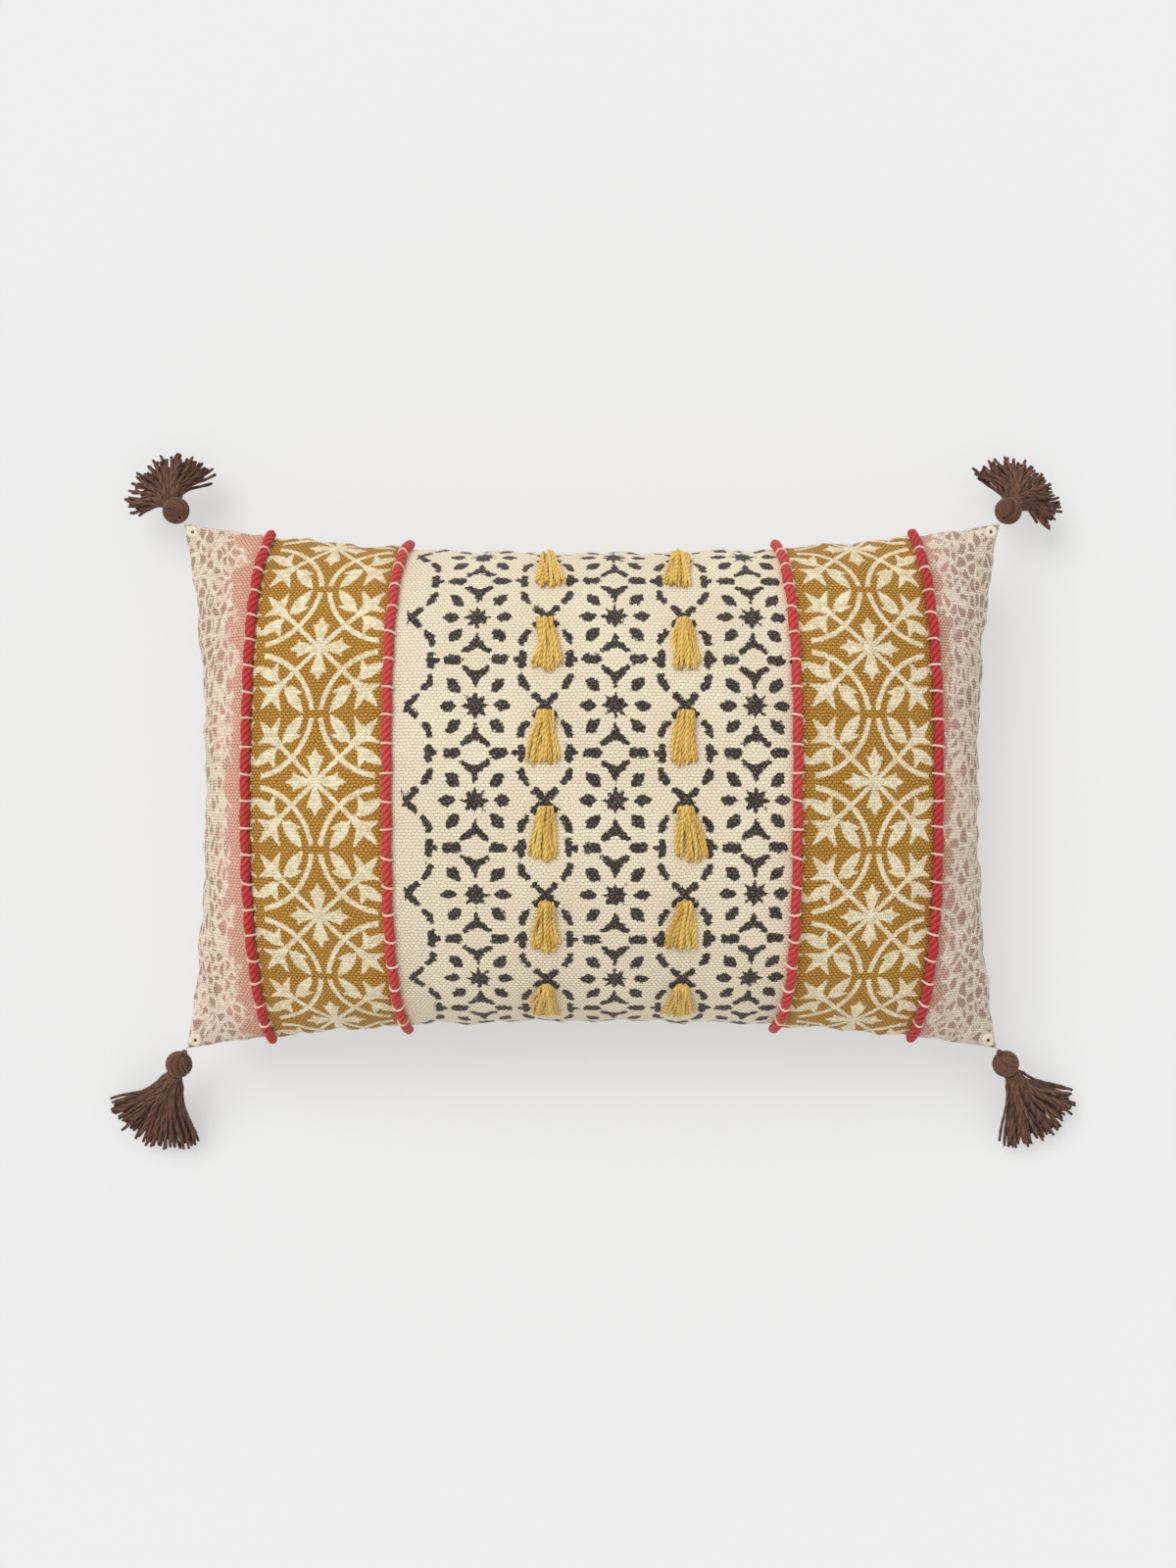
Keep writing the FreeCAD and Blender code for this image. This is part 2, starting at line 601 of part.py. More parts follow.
def write():
    """Checks every object and writes each sub-part's STEP file."""
    for thing in document.Objects:
        if {"Invalid", "Error"} & set(thing.State):
            raise RuntimeError(f"{thing.Label} is {thing.State}")
    os.makedirs("parts", exist_ok=True)
    whole = FreeCAD.BoundBox()
    for thing in nodes:
        shape = thing.Shape
        if shape.isNull() or not shape.isValid():
            raise RuntimeError(f"{thing.Label} has no valid shape")
        whole.add(shape.BoundBox)
        shape.exportStep(f"parts/{thing.Label}.step")
        print(f"{thing.Label:34s} {len(shape.Solids):3d} solids {shape.Volume:12.1f} mm3")
    print(f"{len(nodes)} nodes, box {whole}")


build()
write()
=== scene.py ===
"""A stuffed throw pillow with a pieced, printed canvas cover, couched red cords and yarn tassels.

It lies on its back. Everything is in metres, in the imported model's frame: +X along the long side, +Y
across it and +Z up from the floor. u and v are places on the flat cut of the cover, from its middle.
"""
import json
import logging
import math
from dataclasses import dataclass, field
from enum import Enum
from typing import Any, Sequence

import bpy
import numpy as np
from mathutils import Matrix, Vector


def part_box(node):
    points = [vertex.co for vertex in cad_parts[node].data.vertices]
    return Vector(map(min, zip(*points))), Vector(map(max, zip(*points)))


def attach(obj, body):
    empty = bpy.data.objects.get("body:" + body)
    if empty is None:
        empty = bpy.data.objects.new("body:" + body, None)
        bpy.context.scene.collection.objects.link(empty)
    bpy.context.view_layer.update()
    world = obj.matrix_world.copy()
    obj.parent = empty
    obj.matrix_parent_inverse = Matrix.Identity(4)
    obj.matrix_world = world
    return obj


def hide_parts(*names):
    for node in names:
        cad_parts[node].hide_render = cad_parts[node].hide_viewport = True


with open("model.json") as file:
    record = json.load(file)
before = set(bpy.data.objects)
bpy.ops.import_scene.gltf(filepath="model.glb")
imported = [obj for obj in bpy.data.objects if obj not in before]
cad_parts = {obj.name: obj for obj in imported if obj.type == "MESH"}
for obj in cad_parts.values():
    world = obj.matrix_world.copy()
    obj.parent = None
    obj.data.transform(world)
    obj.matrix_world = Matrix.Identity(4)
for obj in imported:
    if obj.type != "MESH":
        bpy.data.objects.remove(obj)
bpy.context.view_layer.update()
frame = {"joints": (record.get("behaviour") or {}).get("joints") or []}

MM = 0.001
# Half the flat cut along u and v, and where the zip crosses it.
HALF_WIDE, HALF_HIGH, ZIP_V = 300 * MM, 200 * MM, -150 * MM
STITCH_PITCH_MM = 18.5
UP = np.array([0.0, 0.0, 1.0])
WHITE = (1.0, 1.0, 1.0, 1.0)
LOG = logging.getLogger("pillow")


# ------------------------------------------------------------------ nodes and colours


def linear(code: str) -> tuple[float, float, float, float]:
    """Turns an sRGB hex colour into linear light.

    Args:
        code: six hex digits, such as "E8DEC8".

    Returns:
        Red, green, blue and an alpha of 1.
    """
    parts = [int(code[i : i + 2], 16) / 255 for i in (0, 2, 4)]
    return (*[p / 12.92 if p <= 0.04045 else ((p + 0.055) / 1.055) ** 2.4 for p in parts], 1.0)


def feed(tree: bpy.types.NodeTree, node: bpy.types.Node, inputs: dict) -> None:
    """Links or sets a node's inputs.

    Args:
        tree: the node tree.
        node: the node to feed.
        inputs: sockets by name or number; each value is a field or socket to link, or a number or colour
            to set on the socket itself.
    """
    for key, value in inputs.items():
        if isinstance(value, Field):
            value = value.socket
        if isinstance(value, bpy.types.NodeSocket):
            tree.links.new(value, node.inputs[key])
        else:
            node.inputs[key].default_value = value


def add_node(
    tree: bpy.types.NodeTree, kind: str, settings: dict | None = None, inputs: dict | None = None
) -> bpy.types.Node:
    """Adds one node with its settings, and links or sets its inputs.

    Args:
        tree: the material's or the world's node tree.
        kind: the node's type name.
        settings: attributes of the node.
        inputs: what feeds its sockets.

    Returns:
        The new node.
    """
    node = tree.nodes.new(kind)
    for name, value in (settings or {}).items():
        setattr(node, name, value)
    feed(tree, node, inputs or {})
    return node


def smooth(part: np.ndarray) -> np.ndarray:
    """Eases a way from 0 to 1, level at both ends: three squares less two cubes."""
    return part * part * (3 - 2 * part)


class Field:
    """A number at every point of a surface. Arithmetic on fields is built as Math nodes."""

    def __init__(self, tree: bpy.types.NodeTree, socket: bpy.types.NodeSocket) -> None:
        """Keeps the tree and the socket that carries the number."""
        self.tree = tree
        self.socket = socket

    def math(self, operation: str, *others: Any, clamp: bool = False) -> "Field":
        """Adds one Math node that takes this field first.

        Args:
            operation: the node's operation.
            others: fields or numbers after this one.
            clamp: whether to keep the result within 0 and 1.

        Returns:
            The result.
        """
        inputs = dict(enumerate((self, *others)))
        node = add_node(self.tree, "ShaderNodeMath", {"operation": operation, "use_clamp": clamp}, inputs)
        return Field(self.tree, node.outputs[0])

    def __add__(self, other: Any) -> "Field":
        """Sum."""
        return self.math("ADD", other)

    def __sub__(self, other: Any) -> "Field":
        """Difference."""
        return self.math("SUBTRACT", other)

    def __mul__(self, other: Any) -> "Field":
        """Product."""
        return self.math("MULTIPLY", other)

    def __neg__(self) -> "Field":
        """This field with its sign turned."""
        return self.math("MULTIPLY", -1.0)

    def clamped(self) -> "Field":
        """This field kept within 0 and 1."""
        return self.math("ADD", 0.0, clamp=True)

    def most(self, other: Any) -> "Field":
        """The larger of two."""
        return self.math("MAXIMUM", other)

    def least(self, other: Any) -> "Field":
        """The smaller of two."""
        return self.math("MINIMUM", other)

    def fold(self, half: float) -> "Field":
        """Distance from the nearest multiple of twice half, so that a print repeats and mirrors."""
        return self.math("PINGPONG", half)

    def between(self, low: Any, high: Any) -> "Field":
        """Smooth step: 0 at low or under, 1 at high or over.

        Args:
            low: where it leaves 0.
            high: where it reaches 1.

        Returns:
            The step.
        """
        inputs = {0: self, 1: low, 2: high}
        settings = {"interpolation_type": "SMOOTHSTEP"}
        return Field(self.tree, add_node(self.tree, "ShaderNodeMapRange", settings, inputs).outputs[0])

    def blend(self, low: Any, high: Any) -> bpy.types.NodeSocket:
        """Mixes two colours by this field, low at 0 and high at 1."""
        node = add_node(self.tree, "ShaderNodeMix", {"data_type": "RGBA"}, {0: self, 6: low, 7: high})
        return node.outputs[2]


@dataclass
class Swatch:
    """The places that a material reads: a tree, and coordinates in millimetres."""

    tree: bpy.types.NodeTree
    where: bpy.types.NodeSocket

    def axis(self, number: int) -> Field:
        """One coordinate, in millimetres."""
        node = add_node(self.tree, "ShaderNodeSeparateXYZ", inputs={0: self.where})
        return Field(self.tree, node.outputs[number])

    def vector(self, operation: str, *inputs: Any, output: int = 0) -> bpy.types.NodeSocket:
        """Adds one Vector Math node and gives its vector (0) or its number (1).

        Args:
            operation: the node's operation.
            inputs: its inputs, None for one left alone.
            output: 0 for the vector, 1 for the number.

        Returns:
            The output's socket.
        """
        settings = {"operation": operation}
        values = {i: value for i, value in enumerate(inputs) if value is not None}
        return add_node(self.tree, "ShaderNodeVectorMath", settings, values).outputs[output]

    def noise(self, size_mm: float, detail: float = 2.0, where: Any = None) -> Field:
        """Noise from 0 to 1 whose lumps are about size_mm across.

        Args:
            size_mm: size of a lump.
            detail: finer octaves.
            where: places other than the swatch's own.

        Returns:
            The noise.
        """
        inputs = {"Vector": where or self.where, "Scale": 1.0 / size_mm, "Detail": detail}
        settings = {"noise_dimensions": "3D"}
        return Field(self.tree, add_node(self.tree, "ShaderNodeTexNoise", settings, inputs).outputs[0])

    def finger(self, start: Sequence[float], end: Sequence[float], thick: float, tip: float) -> Field:
        """Depth inside a bar with round ends that tapers from one thickness to another.

        Args:
            start: one end, in millimetres.
            end: the other end.
            thick: half thickness at the start.
            tip: half thickness at the end.

        Returns:
            Millimetres inside the bar, negative outside.
        """
        along = (end[0] - start[0], end[1] - start[1], 0.0)
        square = along[0] ** 2 + along[1] ** 2
        offset = self.vector("SUBTRACT", self.where, (*start, 0.0))
        unit = tuple(a / square for a in along)
        part = Field(self.tree, self.vector("DOT_PRODUCT", offset, unit, output=1)).clamped()
        spread = add_node(self.tree, "ShaderNodeVectorMath", {"operation": "SCALE"}, {0: along, 3: part})
        away = Field(self.tree, self.vector("DISTANCE", offset, spread.outputs[0], output=1))
        return part.math("MULTIPLY_ADD", tip - thick, thick) - away

    def leaf(self, centre: Sequence[float], half_long: float, half_wide: float, turn: float = 0.0) -> Field:
        """Depth inside a pointed oval: its half width falls as one minus the square of the way out.

        Args:
            centre: its middle, in millimetres.
            half_long: from the middle to a point.
            half_wide: half its width at the middle.
            turn: angle of its long axis from +X, in degrees.

        Returns:
            Millimetres inside, negative outside.
        """
        angle = math.radians(turn)
        along, side = (math.cos(angle), math.sin(angle), 0.0), (-math.sin(angle), math.cos(angle), 0.0)
        offset = self.vector("SUBTRACT", self.where, (*centre, 0.0))
        way = Field(self.tree, self.vector("DOT_PRODUCT", offset, along, output=1))
        out = Field(self.tree, self.vector("DOT_PRODUCT", offset, side, output=1)).math("ABSOLUTE")
        return (way * way).math("MULTIPLY_ADD", -half_wide / half_long**2, half_wide) - out


def union(shapes: Sequence[Field]) -> Field:
    """The depth inside any of several shapes.

    Args:
        shapes: their depths.

    Returns:
        The largest depth at each place.
    """
    whole = shapes[0]
    for shape in shapes[1:]:
        whole = whole.most(shape)
    return whole


# ------------------------------------------------------------------ prints


class Print(Enum):
    """What is printed on a strip of canvas."""

    STARS = "charcoal stars and petals in an ogee"
    VINE = "cream flowers, arcs and leaves"
    LACE = "cream lace towards the outer edge"
    PLAIN = "nothing"


@dataclass(frozen=True)
class Repeat:
    """A mirrored repeat on the flat cut: its first centre and its pitches, in millimetres."""

    first_u: float
    first_v: float
    pitch_u: float
    pitch_v: float

    def fold(self, cloth: Swatch) -> Swatch:
        """The place within one quarter of the repeat, from its centre.

        Args:
            cloth: the flat places, in millimetres.

        Returns:
            Places within the quarter.
        """
        u = (cloth.axis(0) - self.first_u).fold(self.pitch_u / 2)
        v = (cloth.axis(1) - self.first_v).fold(self.pitch_v / 2)
        joined = add_node(cloth.tree, "ShaderNodeCombineXYZ", inputs={0: u, 1: v})
        return Swatch(cloth.tree, joined.outputs[0])


def star(cell: Swatch, tip: float, notch: float, points: int) -> Field:
    """Depth inside a star about the cell's centre: the distance to the nearest straight edge, from a tip
    to a notch, after the angle is folded to half a point.

    Args:
        cell: the folded repeat.
        tip: radius of a point, in millimetres.
        notch: radius between points.
        points: how many points.

    Returns:
        Millimetres inside, negative outside.
    """
    half = math.pi / points
    angle = cell.axis(1).math("ARCTAN2", cell.axis(0)).fold(half)
    radius = Field(cell.tree, cell.vector("LENGTH", cell.where, output=1))
    edge_x, edge_y = notch * math.cos(half) - tip, notch * math.sin(half)
    long = math.hypot(edge_x, edge_y)
    x, y = radius * angle.math("COSINE"), radius * angle.math("SINE")
    return y.math("MULTIPLY", edge_x / long) - (x - tip) * (edge_y / long)


def star_print(cell: Swatch) -> Field:
    """One quarter of the charcoal repeat: a star ringed by petals, three-lobed sprigs above and below it,
    and broken ogee bars that cross at the sides.

    Args:
        cell: the folded repeat.

    Returns:
        Millimetres inside, negative outside.
    """
    return union([
        star(cell, 8.7, 5.3, 8),
        cell.leaf((17.5, 0.0), 5.8, 3.7),
        cell.leaf((14.3, 13.3), 6.3, 3.9, 45.0),
        cell.finger((0.0, 12.2), (0.0, 19.3), 0.9, 3.5),
        cell.finger((0.0, 18.8), (7.7, 24.4), 3.0, 1.9),
        cell.finger((12.4, 30.5), (17.7, 30.5), 3.5, 3.4),
        cell.finger((29.8, 26.8), (29.8, 30.5), 2.5, 2.8),
        cell.finger((29.6, 30.5), (25.9, 30.5), 2.8, 2.0),
        cell.finger((29.4, 18.6), (30.5, 14.9), 2.3, 2.7),
        cell.finger((30.5, 14.9), (33.1, 11.6), 2.7, 2.1),
        cell.finger((38.6, 6.2), (46.0, -1.0), 2.4, 2.5),
    ])


def vine_print(cell: Swatch) -> Field:
    """One quarter of the cream repeat on ochre: a four-petalled flower on crossed stems, arcs that curve
    between the flowers, and three leaves at the end of each stem.

    Args:
        cell: the folded repeat.

    Returns:
        Millimetres inside, negative outside.
    """
    x, y = cell.axis(0), cell.axis(1)
    ring_x, ring_y = (x - 46.0) * (1 / 43.5), (y - 50.0) * (1 / 46.5)
    ring = (ring_x * ring_x + ring_y * ring_y).math("SQRT") - 1.0
    arc = (-(ring.math("ABSOLUTE") * 45.0) + 1.45).least(-(x - 40.0)).least(-(y - 42.0))
    return union([
        arc,
        cell.finger((0.0, 3.0), (0.0, 14.0), 1.1, 4.6),
        cell.finger((0.0, 15.0), (0.0, 21.8), 3.6, 0.3),
        cell.finger((3.0, 0.0), (12.6, 0.0), 1.1, 4.4),
        cell.finger((13.6, 0.0), (20.4, 0.0), 3.6, 0.3),
        cell.finger((5.4, 16.6), (0.0, 13.6), 0.3, 2.6),
        cell.finger((15.0, 5.6), (12.2, 0.0), 0.3, 2.6),
        cell.finger((0.0, 0.0), (23.5, 22.4), 1.3, 1.3),
        cell.finger((23.5, 22.4), (33.0, 31.0), 1.3, 4.2),
        cell.finger((32.0, 30.0), (41.0, 40.4), 4.2, 0.4),
        cell.finger((31.5, 31.0), (26.4, 42.0), 3.6, 0.4),
        cell.finger((33.0, 29.5), (42.2, 26.0), 3.4, 0.4),
        cell.leaf((16.7, 34.7), 11.6, 3.6, 127.0),
        cell.finger((18.6, 29.4), (11.2, 30.4), 3.3, 0.3),
        cell.leaf((36.2, 16.9), 10.8, 3.5, -32.0),
        cell.finger((32.2, 17.0), (29.6, 9.8), 3.3, 0.3),
    ])


def lace_print(cloth: Swatch) -> Field:
    """Cream lace: the walls between rounded cells, thickened into blobs, fading out towards the cord.

    Args:
        cloth: the flat places, in millimetres.

    Returns:
        Millimetres inside, negative outside.
    """
    drift = cloth.noise(14.0, 1.0)
    push = cloth.vector("SCALE", (9.0, 7.0, 0.0), None, None, drift)
    shifted = cloth.vector("ADD", cloth.where, push)
    narrow = cloth.vector("MULTIPLY", shifted, (1.0, 0.68, 1.0))
    settings = {"feature": "DISTANCE_TO_EDGE"}
    inputs = {"Vector": narrow, "Scale": 1 / 7.6, "Randomness": 0.9}
    walls = Field(cloth.tree, add_node(cloth.tree, "ShaderNodeTexVoronoi", settings, inputs).outputs[0])
    blobs = cloth.noise(10.0, 2.0) * 10.0 - 6.4
    return (-(walls * 7.6) + 1.0).most(blobs)


# ------------------------------------------------------------------ finishes


def new_material(name: str) -> tuple[bpy.types.Material, bpy.types.NodeTree, bpy.types.Node]:
    """Makes a material and gives it, its tree and its Principled shader.

    Args:
        name: its name.

    Returns:
        The material, its node tree and its shader.
    """
    made = bpy.data.materials.new(name)
    made.use_nodes = True
    return made, made.node_tree, made.node_tree.nodes["Principled BSDF"]


@dataclass(frozen=True)
class Canvas:
    """Coarse unbleached cotton canvas, plain woven in thick soft yarn and block printed with pigment. The
    weave shows as staggered round grains. The gaps between them are drawn darker, as painted shade, and
    the print skips in the gaps and at its edges."""

    name: str
    ground: str
    # the colour in the hollows between grains: painted shade
    gap: str
    ink: str
    # the paler ink: thin pigment, and on the stars print painted highlight on the grain tops
    fleck: str
    kind: Print
    repeat: Repeat = Repeat(0.0, 0.0, 90.0, 61.0)
    outer: float = 0.0
    lace_from: float = 255.0
    grain_wide_mm: float = 2.95
    grain_high_mm: float = 2.1
    taupe: str = "B39A87"
    # the taupe's colour in the hollows between grains: painted shade
    taupe_hollow_shade: str = "7E6757"

    def grain(self, cloth: Swatch) -> tuple[Field, Field]:
        """Round grains in rows, each row half a grain along from the last: the height of a dome over each
        grain, and a number that differs from grain to grain.

        Args:
            cloth: the flat places, in millimetres.

        Returns:
            The dome's height and the number for each grain, both from 0 to 1.
        """
        ripple = (cloth.noise(5.0, 2.0) - 0.5) * 2.3
        u, v = cloth.axis(0) + ripple, cloth.axis(1) - ripple * 0.9
        row = (v * (1 / self.grain_high_mm)).math("FLOOR")
        shifted = u * (1 / self.grain_wide_mm) + row * 0.5
        across = (shifted.math("FRACT") - 0.5) * 2.0
        up = ((v * (1 / self.grain_high_mm)).math("FRACT") - 0.5) * 2.0
        cell = add_node(cloth.tree, "ShaderNodeCombineXYZ", inputs={0: shifted.math("FLOOR"), 1: row})
        lot = add_node(
            cloth.tree, "ShaderNodeTexWhiteNoise", {"noise_dimensions": "2D"}, {"Vector": cell.outputs[0]})
        chance = Field(cloth.tree, lot.outputs[0])
        bowl = (across * across * 0.85 + up * up * 0.8) * (chance * 0.5 + 0.75)
        hollow = bowl + (cloth.noise(1.1, 2.0) - 0.5) * 0.6
        return (-hollow + 1.0).clamped().math("SQRT"), chance

    def depth(self, cloth: Swatch) -> Field:
        """Millimetres inside a print that repeats, stars or vine.

        Args:
            cloth: the flat places, in millimetres.

        Returns:
            Millimetres inside, negative outside.
        """
        if self.kind is Print.STARS:
            return star_print(self.repeat.fold(cloth)).least(cloth.axis(0) + 121.5)
        return vine_print(self.repeat.fold(cloth)) + 0.3

    def material(self) -> bpy.types.Material:
        """Builds the node material. It reads the piece's own map, which holds flat places in metres.

        Returns:
            The material.
        """
        made, tree, shader = new_material(self.name)
        flat = add_node(tree, "ShaderNodeUVMap", {"uv_map": "cloth"})
        inputs = {0: flat.outputs[0], 3: 1 / MM}
        scaled = add_node(tree, "ShaderNodeVectorMath", {"operation": "SCALE"}, inputs)
        cloth = Swatch(tree, scaled.outputs[0])
        dome, lot = self.grain(cloth)
        fibre = cloth.noise(0.5, 3.0)
        # Darker where each grain's dome is low: the gap colour is painted shade in the weave's hollows. The
        # rest of the tone differs at random from grain to grain.
        tone = dome.between(0.15, 0.9) * 0.8 + lot * 0.24 + (fibre - 0.5) * 0.3
        colour = tone.blend(linear(self.gap), linear(self.ground))
        if self.kind is Print.LACE:
            colour = self.lace(cloth, colour, dome, lot)
        elif self.kind is not Print.PLAIN:
            skip = 1.5 if self.kind is Print.STARS else 0.5
            ragged = (cloth.noise(1.5, 3.0) - 0.5) * 3.4 + (lot - 0.5) * skip
            inked = (self.depth(cloth) + ragged).between(-0.3, 0.3)
            colour = self.inked(cloth, colour, inked, dome, lot)
        fade = cloth.noise(70.0, 2.0).between(0.3, 0.7)
        worn = fade.blend((0.93, 0.92, 0.91, 1), (1.0, 1.0, 1.0, 1))
        final = add_node(tree, "ShaderNodeMix", {"data_type": "RGBA", "blend_type": "MULTIPLY"},
                         {0: 1.0, 6: colour, 7: worn})
        relief = dome * 0.8 + fibre * 0.22
        inputs = {"Strength": 0.9, "Distance": 0.6 * MM, "Height": relief}
        bump = add_node(tree, "ShaderNodeBump", inputs=inputs)
        rough = fibre * 0.12 + 0.82
        feed(tree, shader, {
            "Base Color": final.outputs[2], "Roughness": rough, "Normal": bump.outputs[0],
            "Sheen Weight": 0.12, "Sheen Roughness": 0.5, "Specular IOR Level": 0.2})
        return made

    def inked(self, cloth: Swatch, under: Any, inked: Field, dome: Field, lot: Field) -> bpy.types.NodeSocket:
        """Lays pigment over the cloth: it misses some grains and lightens where it is thin. On the stars
        print it is paler on the grain tops, which is painted highlight.

        Args:
            cloth: the flat places, in millimetres.
            under: the colour of the bare cloth.
            inked: how much pigment there is, from 0 to 1.
            dome: the height of each grain.
            lot: a number for each grain.

        Returns:
            The printed colour.
        """
        if self.kind is Print.STARS:
            # Paler ink on the highest part of each grain: painted highlight, broken up by noise.
            fleck = dome.between(0.6, 1.0) * cloth.noise(1.3, 2.0).between(0.4, 0.62)
            pigment = (fleck * 0.9).blend(linear(self.ink), linear(self.fleck))
            return (inked * (cloth.noise(1.0, 2.0).between(0.22, 0.34) * 0.6 + 0.4)).blend(under, pigment)
        thin = (cloth.noise(2.2, 2.0) * 0.7 + lot * 0.3).between(0.36, 0.7)
        pigment = thin.blend(linear(self.ink), linear(self.fleck))
        covered = dome.between(0.0, 0.35) * 0.5 + 0.5
        return (inked * covered).blend(under, pigment)

    def lace(self, cloth: Swatch, under: Any, dome: Field, lot: Field) -> bpy.types.NodeSocket:
        """Taupe ground and cream lace on pink cloth. Both keep off a plain band beside the cord.

        Args:
            cloth: the flat places, in millimetres.
            under: the colour of the bare cloth.
            dome: the height of each grain.
            lot: a number for each grain.

        Returns:
            The printed colour.
        """
        edge = (cloth.axis(0) * self.outer - self.lace_from) + (cloth.noise(20.0, 3.0) - 0.5) * 46.0
        printed = (edge + (cloth.noise(4.0, 2.0) - 0.5) * 14.0).between(-9.0, -3.0)
        taupe = (edge.between(-10.0, 16.0) * (cloth.noise(6.0, 1.0) * 0.5 + 0.55)).clamped()
        # The taupe is darker in the hollows between grains: painted shade.
        taupe_grain = dome.between(0.05, 0.75).blend(linear(self.taupe_hollow_shade), linear(self.taupe))
        ground = taupe.blend(under, taupe_grain)
        inked = (lace_print(cloth) + (cloth.noise(1.5, 3.0) - 0.5) * 1.6).between(-0.3, 0.3) * printed
        return self.inked(cloth, ground, inked * 0.92, dome, lot)


@dataclass(frozen=True)
class Yarn:
    """Soft plied wool yarn: matt and hairy, with painted shade in the grooves between plies and towards the
    cut ends, painted highlight on the ply crowns, and a little different from strand to strand."""

    name: str
    # the colour of the ply crowns: painted highlight
    light: str
    body: str
    # the colour in the grooves between plies and at the cut ends: painted shade
    groove: str
    fibre_mm: float = 0.35

    def material(self) -> bpy.types.Material:
        """Builds the node material. It reads the attributes that twisted yarn carries.

        Returns:
            The material.
        """
        made, tree, shader = new_material(self.name)
        ply = add_node(tree, "ShaderNodeAttribute", {"attribute_name": "ply"})
        groove = Field(tree, add_node(tree, "ShaderNodeAttribute", {"attribute_name": "groove"}).outputs[2])
        shade = Field(tree, add_node(tree, "ShaderNodeAttribute", {"attribute_name": "shade"}).outputs[2])
        yarn = Swatch(tree, ply.outputs[1])
        fibre = yarn.noise(self.fibre_mm, 3.0)
        # Painted shade darkens the grooves between plies and the cut ends; painted highlight lightens the ply
        # crowns. The per-strand shade and the fibre noise differ at random.
        tone = groove.between(0.0, 0.85) * 0.62 + shade * 0.3 + fibre * 0.3 - 0.12
        low = tone.between(0.0, 0.55).blend(linear(self.groove), linear(self.body))
        colour = tone.between(0.5, 1.0).blend(low, linear(self.light))
        inputs = {"Strength": 0.7, "Distance": 0.3 * MM, "Height": fibre}
        bump = add_node(tree, "ShaderNodeBump", inputs=inputs)
        feed(tree, shader, {
            "Base Color": colour, "Roughness": fibre * 0.15 + 0.78, "Normal": bump.outputs[0],
            "Sheen Weight": 0.18, "Sheen Roughness": 0.4, "Specular IOR Level": 0.2})
        return made


@dataclass(frozen=True)
class Hard:
    """A plain hard or woven trim, read in object coordinates: plated zinc, nylon or narrow tape."""

    name: str
    body: str
    worn: str
    roughness: float
    metallic: float = 0.0
    weave_mm: float = 0.0

    def material(self) -> bpy.types.Material:
        """Builds the node material: mottled colour and fine scratches, or a fine herringbone rib.

        Returns:
            The material.
        """
        made, tree, shader = new_material(self.name)
        place = add_node(tree, "ShaderNodeTexCoord").outputs["Object"]
        scaled = add_node(tree, "ShaderNodeVectorMath", {"operation": "SCALE"}, {0: place, 3: 1 / MM})
        metal = Swatch(tree, scaled.outputs[0])
        mottle = metal.noise(1.2, 4.0)
        relief = metal.noise(0.3, 3.0)
        if self.weave_mm:
            rib = (metal.axis(0) + metal.axis(1).math("ABSOLUTE") * 0.6) * (1 / self.weave_mm)
            relief = rib.math("FRACT").fold(0.5) * 2.0 + relief * 0.4
        colour = mottle.between(0.35, 0.7).blend(linear(self.body), linear(self.worn))
        inputs = {"Strength": 0.35, "Distance": 0.1 * MM, "Height": relief}
        bump = add_node(tree, "ShaderNodeBump", inputs=inputs)
        rough = mottle * 0.2 + (self.roughness - 0.1)
        feed(tree, shader, {"Base Color": colour, "Roughness": rough, "Normal": bump.outputs[0],
                            "Metallic": self.metallic})
        return made


FINISHES = {
    "centre": Canvas("cream_canvas_star_print", "FFF4DA", "C3AF8C", "352D28", "8C8279", Print.STARS,
                     Repeat(15.0, -8.5, 90.0, 61.0)),
    "left_gold": Canvas("ochre_canvas_vine_print_left", "CE973C", "3C2A09", "F8EDCE", "E9D8AE", Print.VINE,
                        Repeat(-180.0, 3.5, 88.0, 90.0)),
    "right_gold": Canvas("ochre_canvas_vine_print_right", "CE973C", "3C2A09", "F8EDCE", "E9D8AE", Print.VINE,
                         Repeat(184.0, 3.5, 88.0, 90.0)),
    "left_pink": Canvas("pink_canvas_lace_print_left", "EEB9A1", "A06C5A", "F8E9D1", "ECD5BC", Print.LACE,
                        outer=-1.0),
    "right_pink": Canvas("pink_canvas_lace_print_right", "E2B39E", "8C6658", "F4E7D2", "E4D1BC", Print.LACE,
                         outer=1.0, lace_from=248.0),
    "back": Canvas("plain_cream_canvas", "EBE1CC", "BFAE92", "000000", "000000", Print.PLAIN),
    # Casing cotton has finer threads than this. They are drawn coarser so that they show.
    "casing": Canvas("casing_cotton", "F2F0EA", "D9D5CC", "000000", "000000", Print.PLAIN,
                     grain_wide_mm=1.0, grain_high_mm=0.8),
    "red": Yarn("red_plied_yarn", "CE4F4A", "AC2930", "64100F"),
    "cream": Yarn("cream_thread", "F5DFCB", "EBC9B3", "C09A84", 0.25),
    "eye": Yarn("cream_eyelet_thread", "FBEFDA", "F0DFC6", "C7AC8E", 0.25),
    "mustard": Yarn("mustard_wool", "F3D884", "D2A546", "6B4C18"),
    "brown": Yarn("brown_wool", "7E5A48", "563A2D", "25150F"),
    "tape": Hard("zip_tape_cotton", "DDD2BC", "C9BCA3", 0.85, weave_mm=1.0),
    "coil": Hard("zip_coil_nylon", "E4DAC4", "D2C6AE", 0.45),
    "metal": Hard("zip_zinc_brass_plated", "B98B45", "8E6A36", 0.35, metallic=1.0),
}


# ------------------------------------------------------------------ meshes


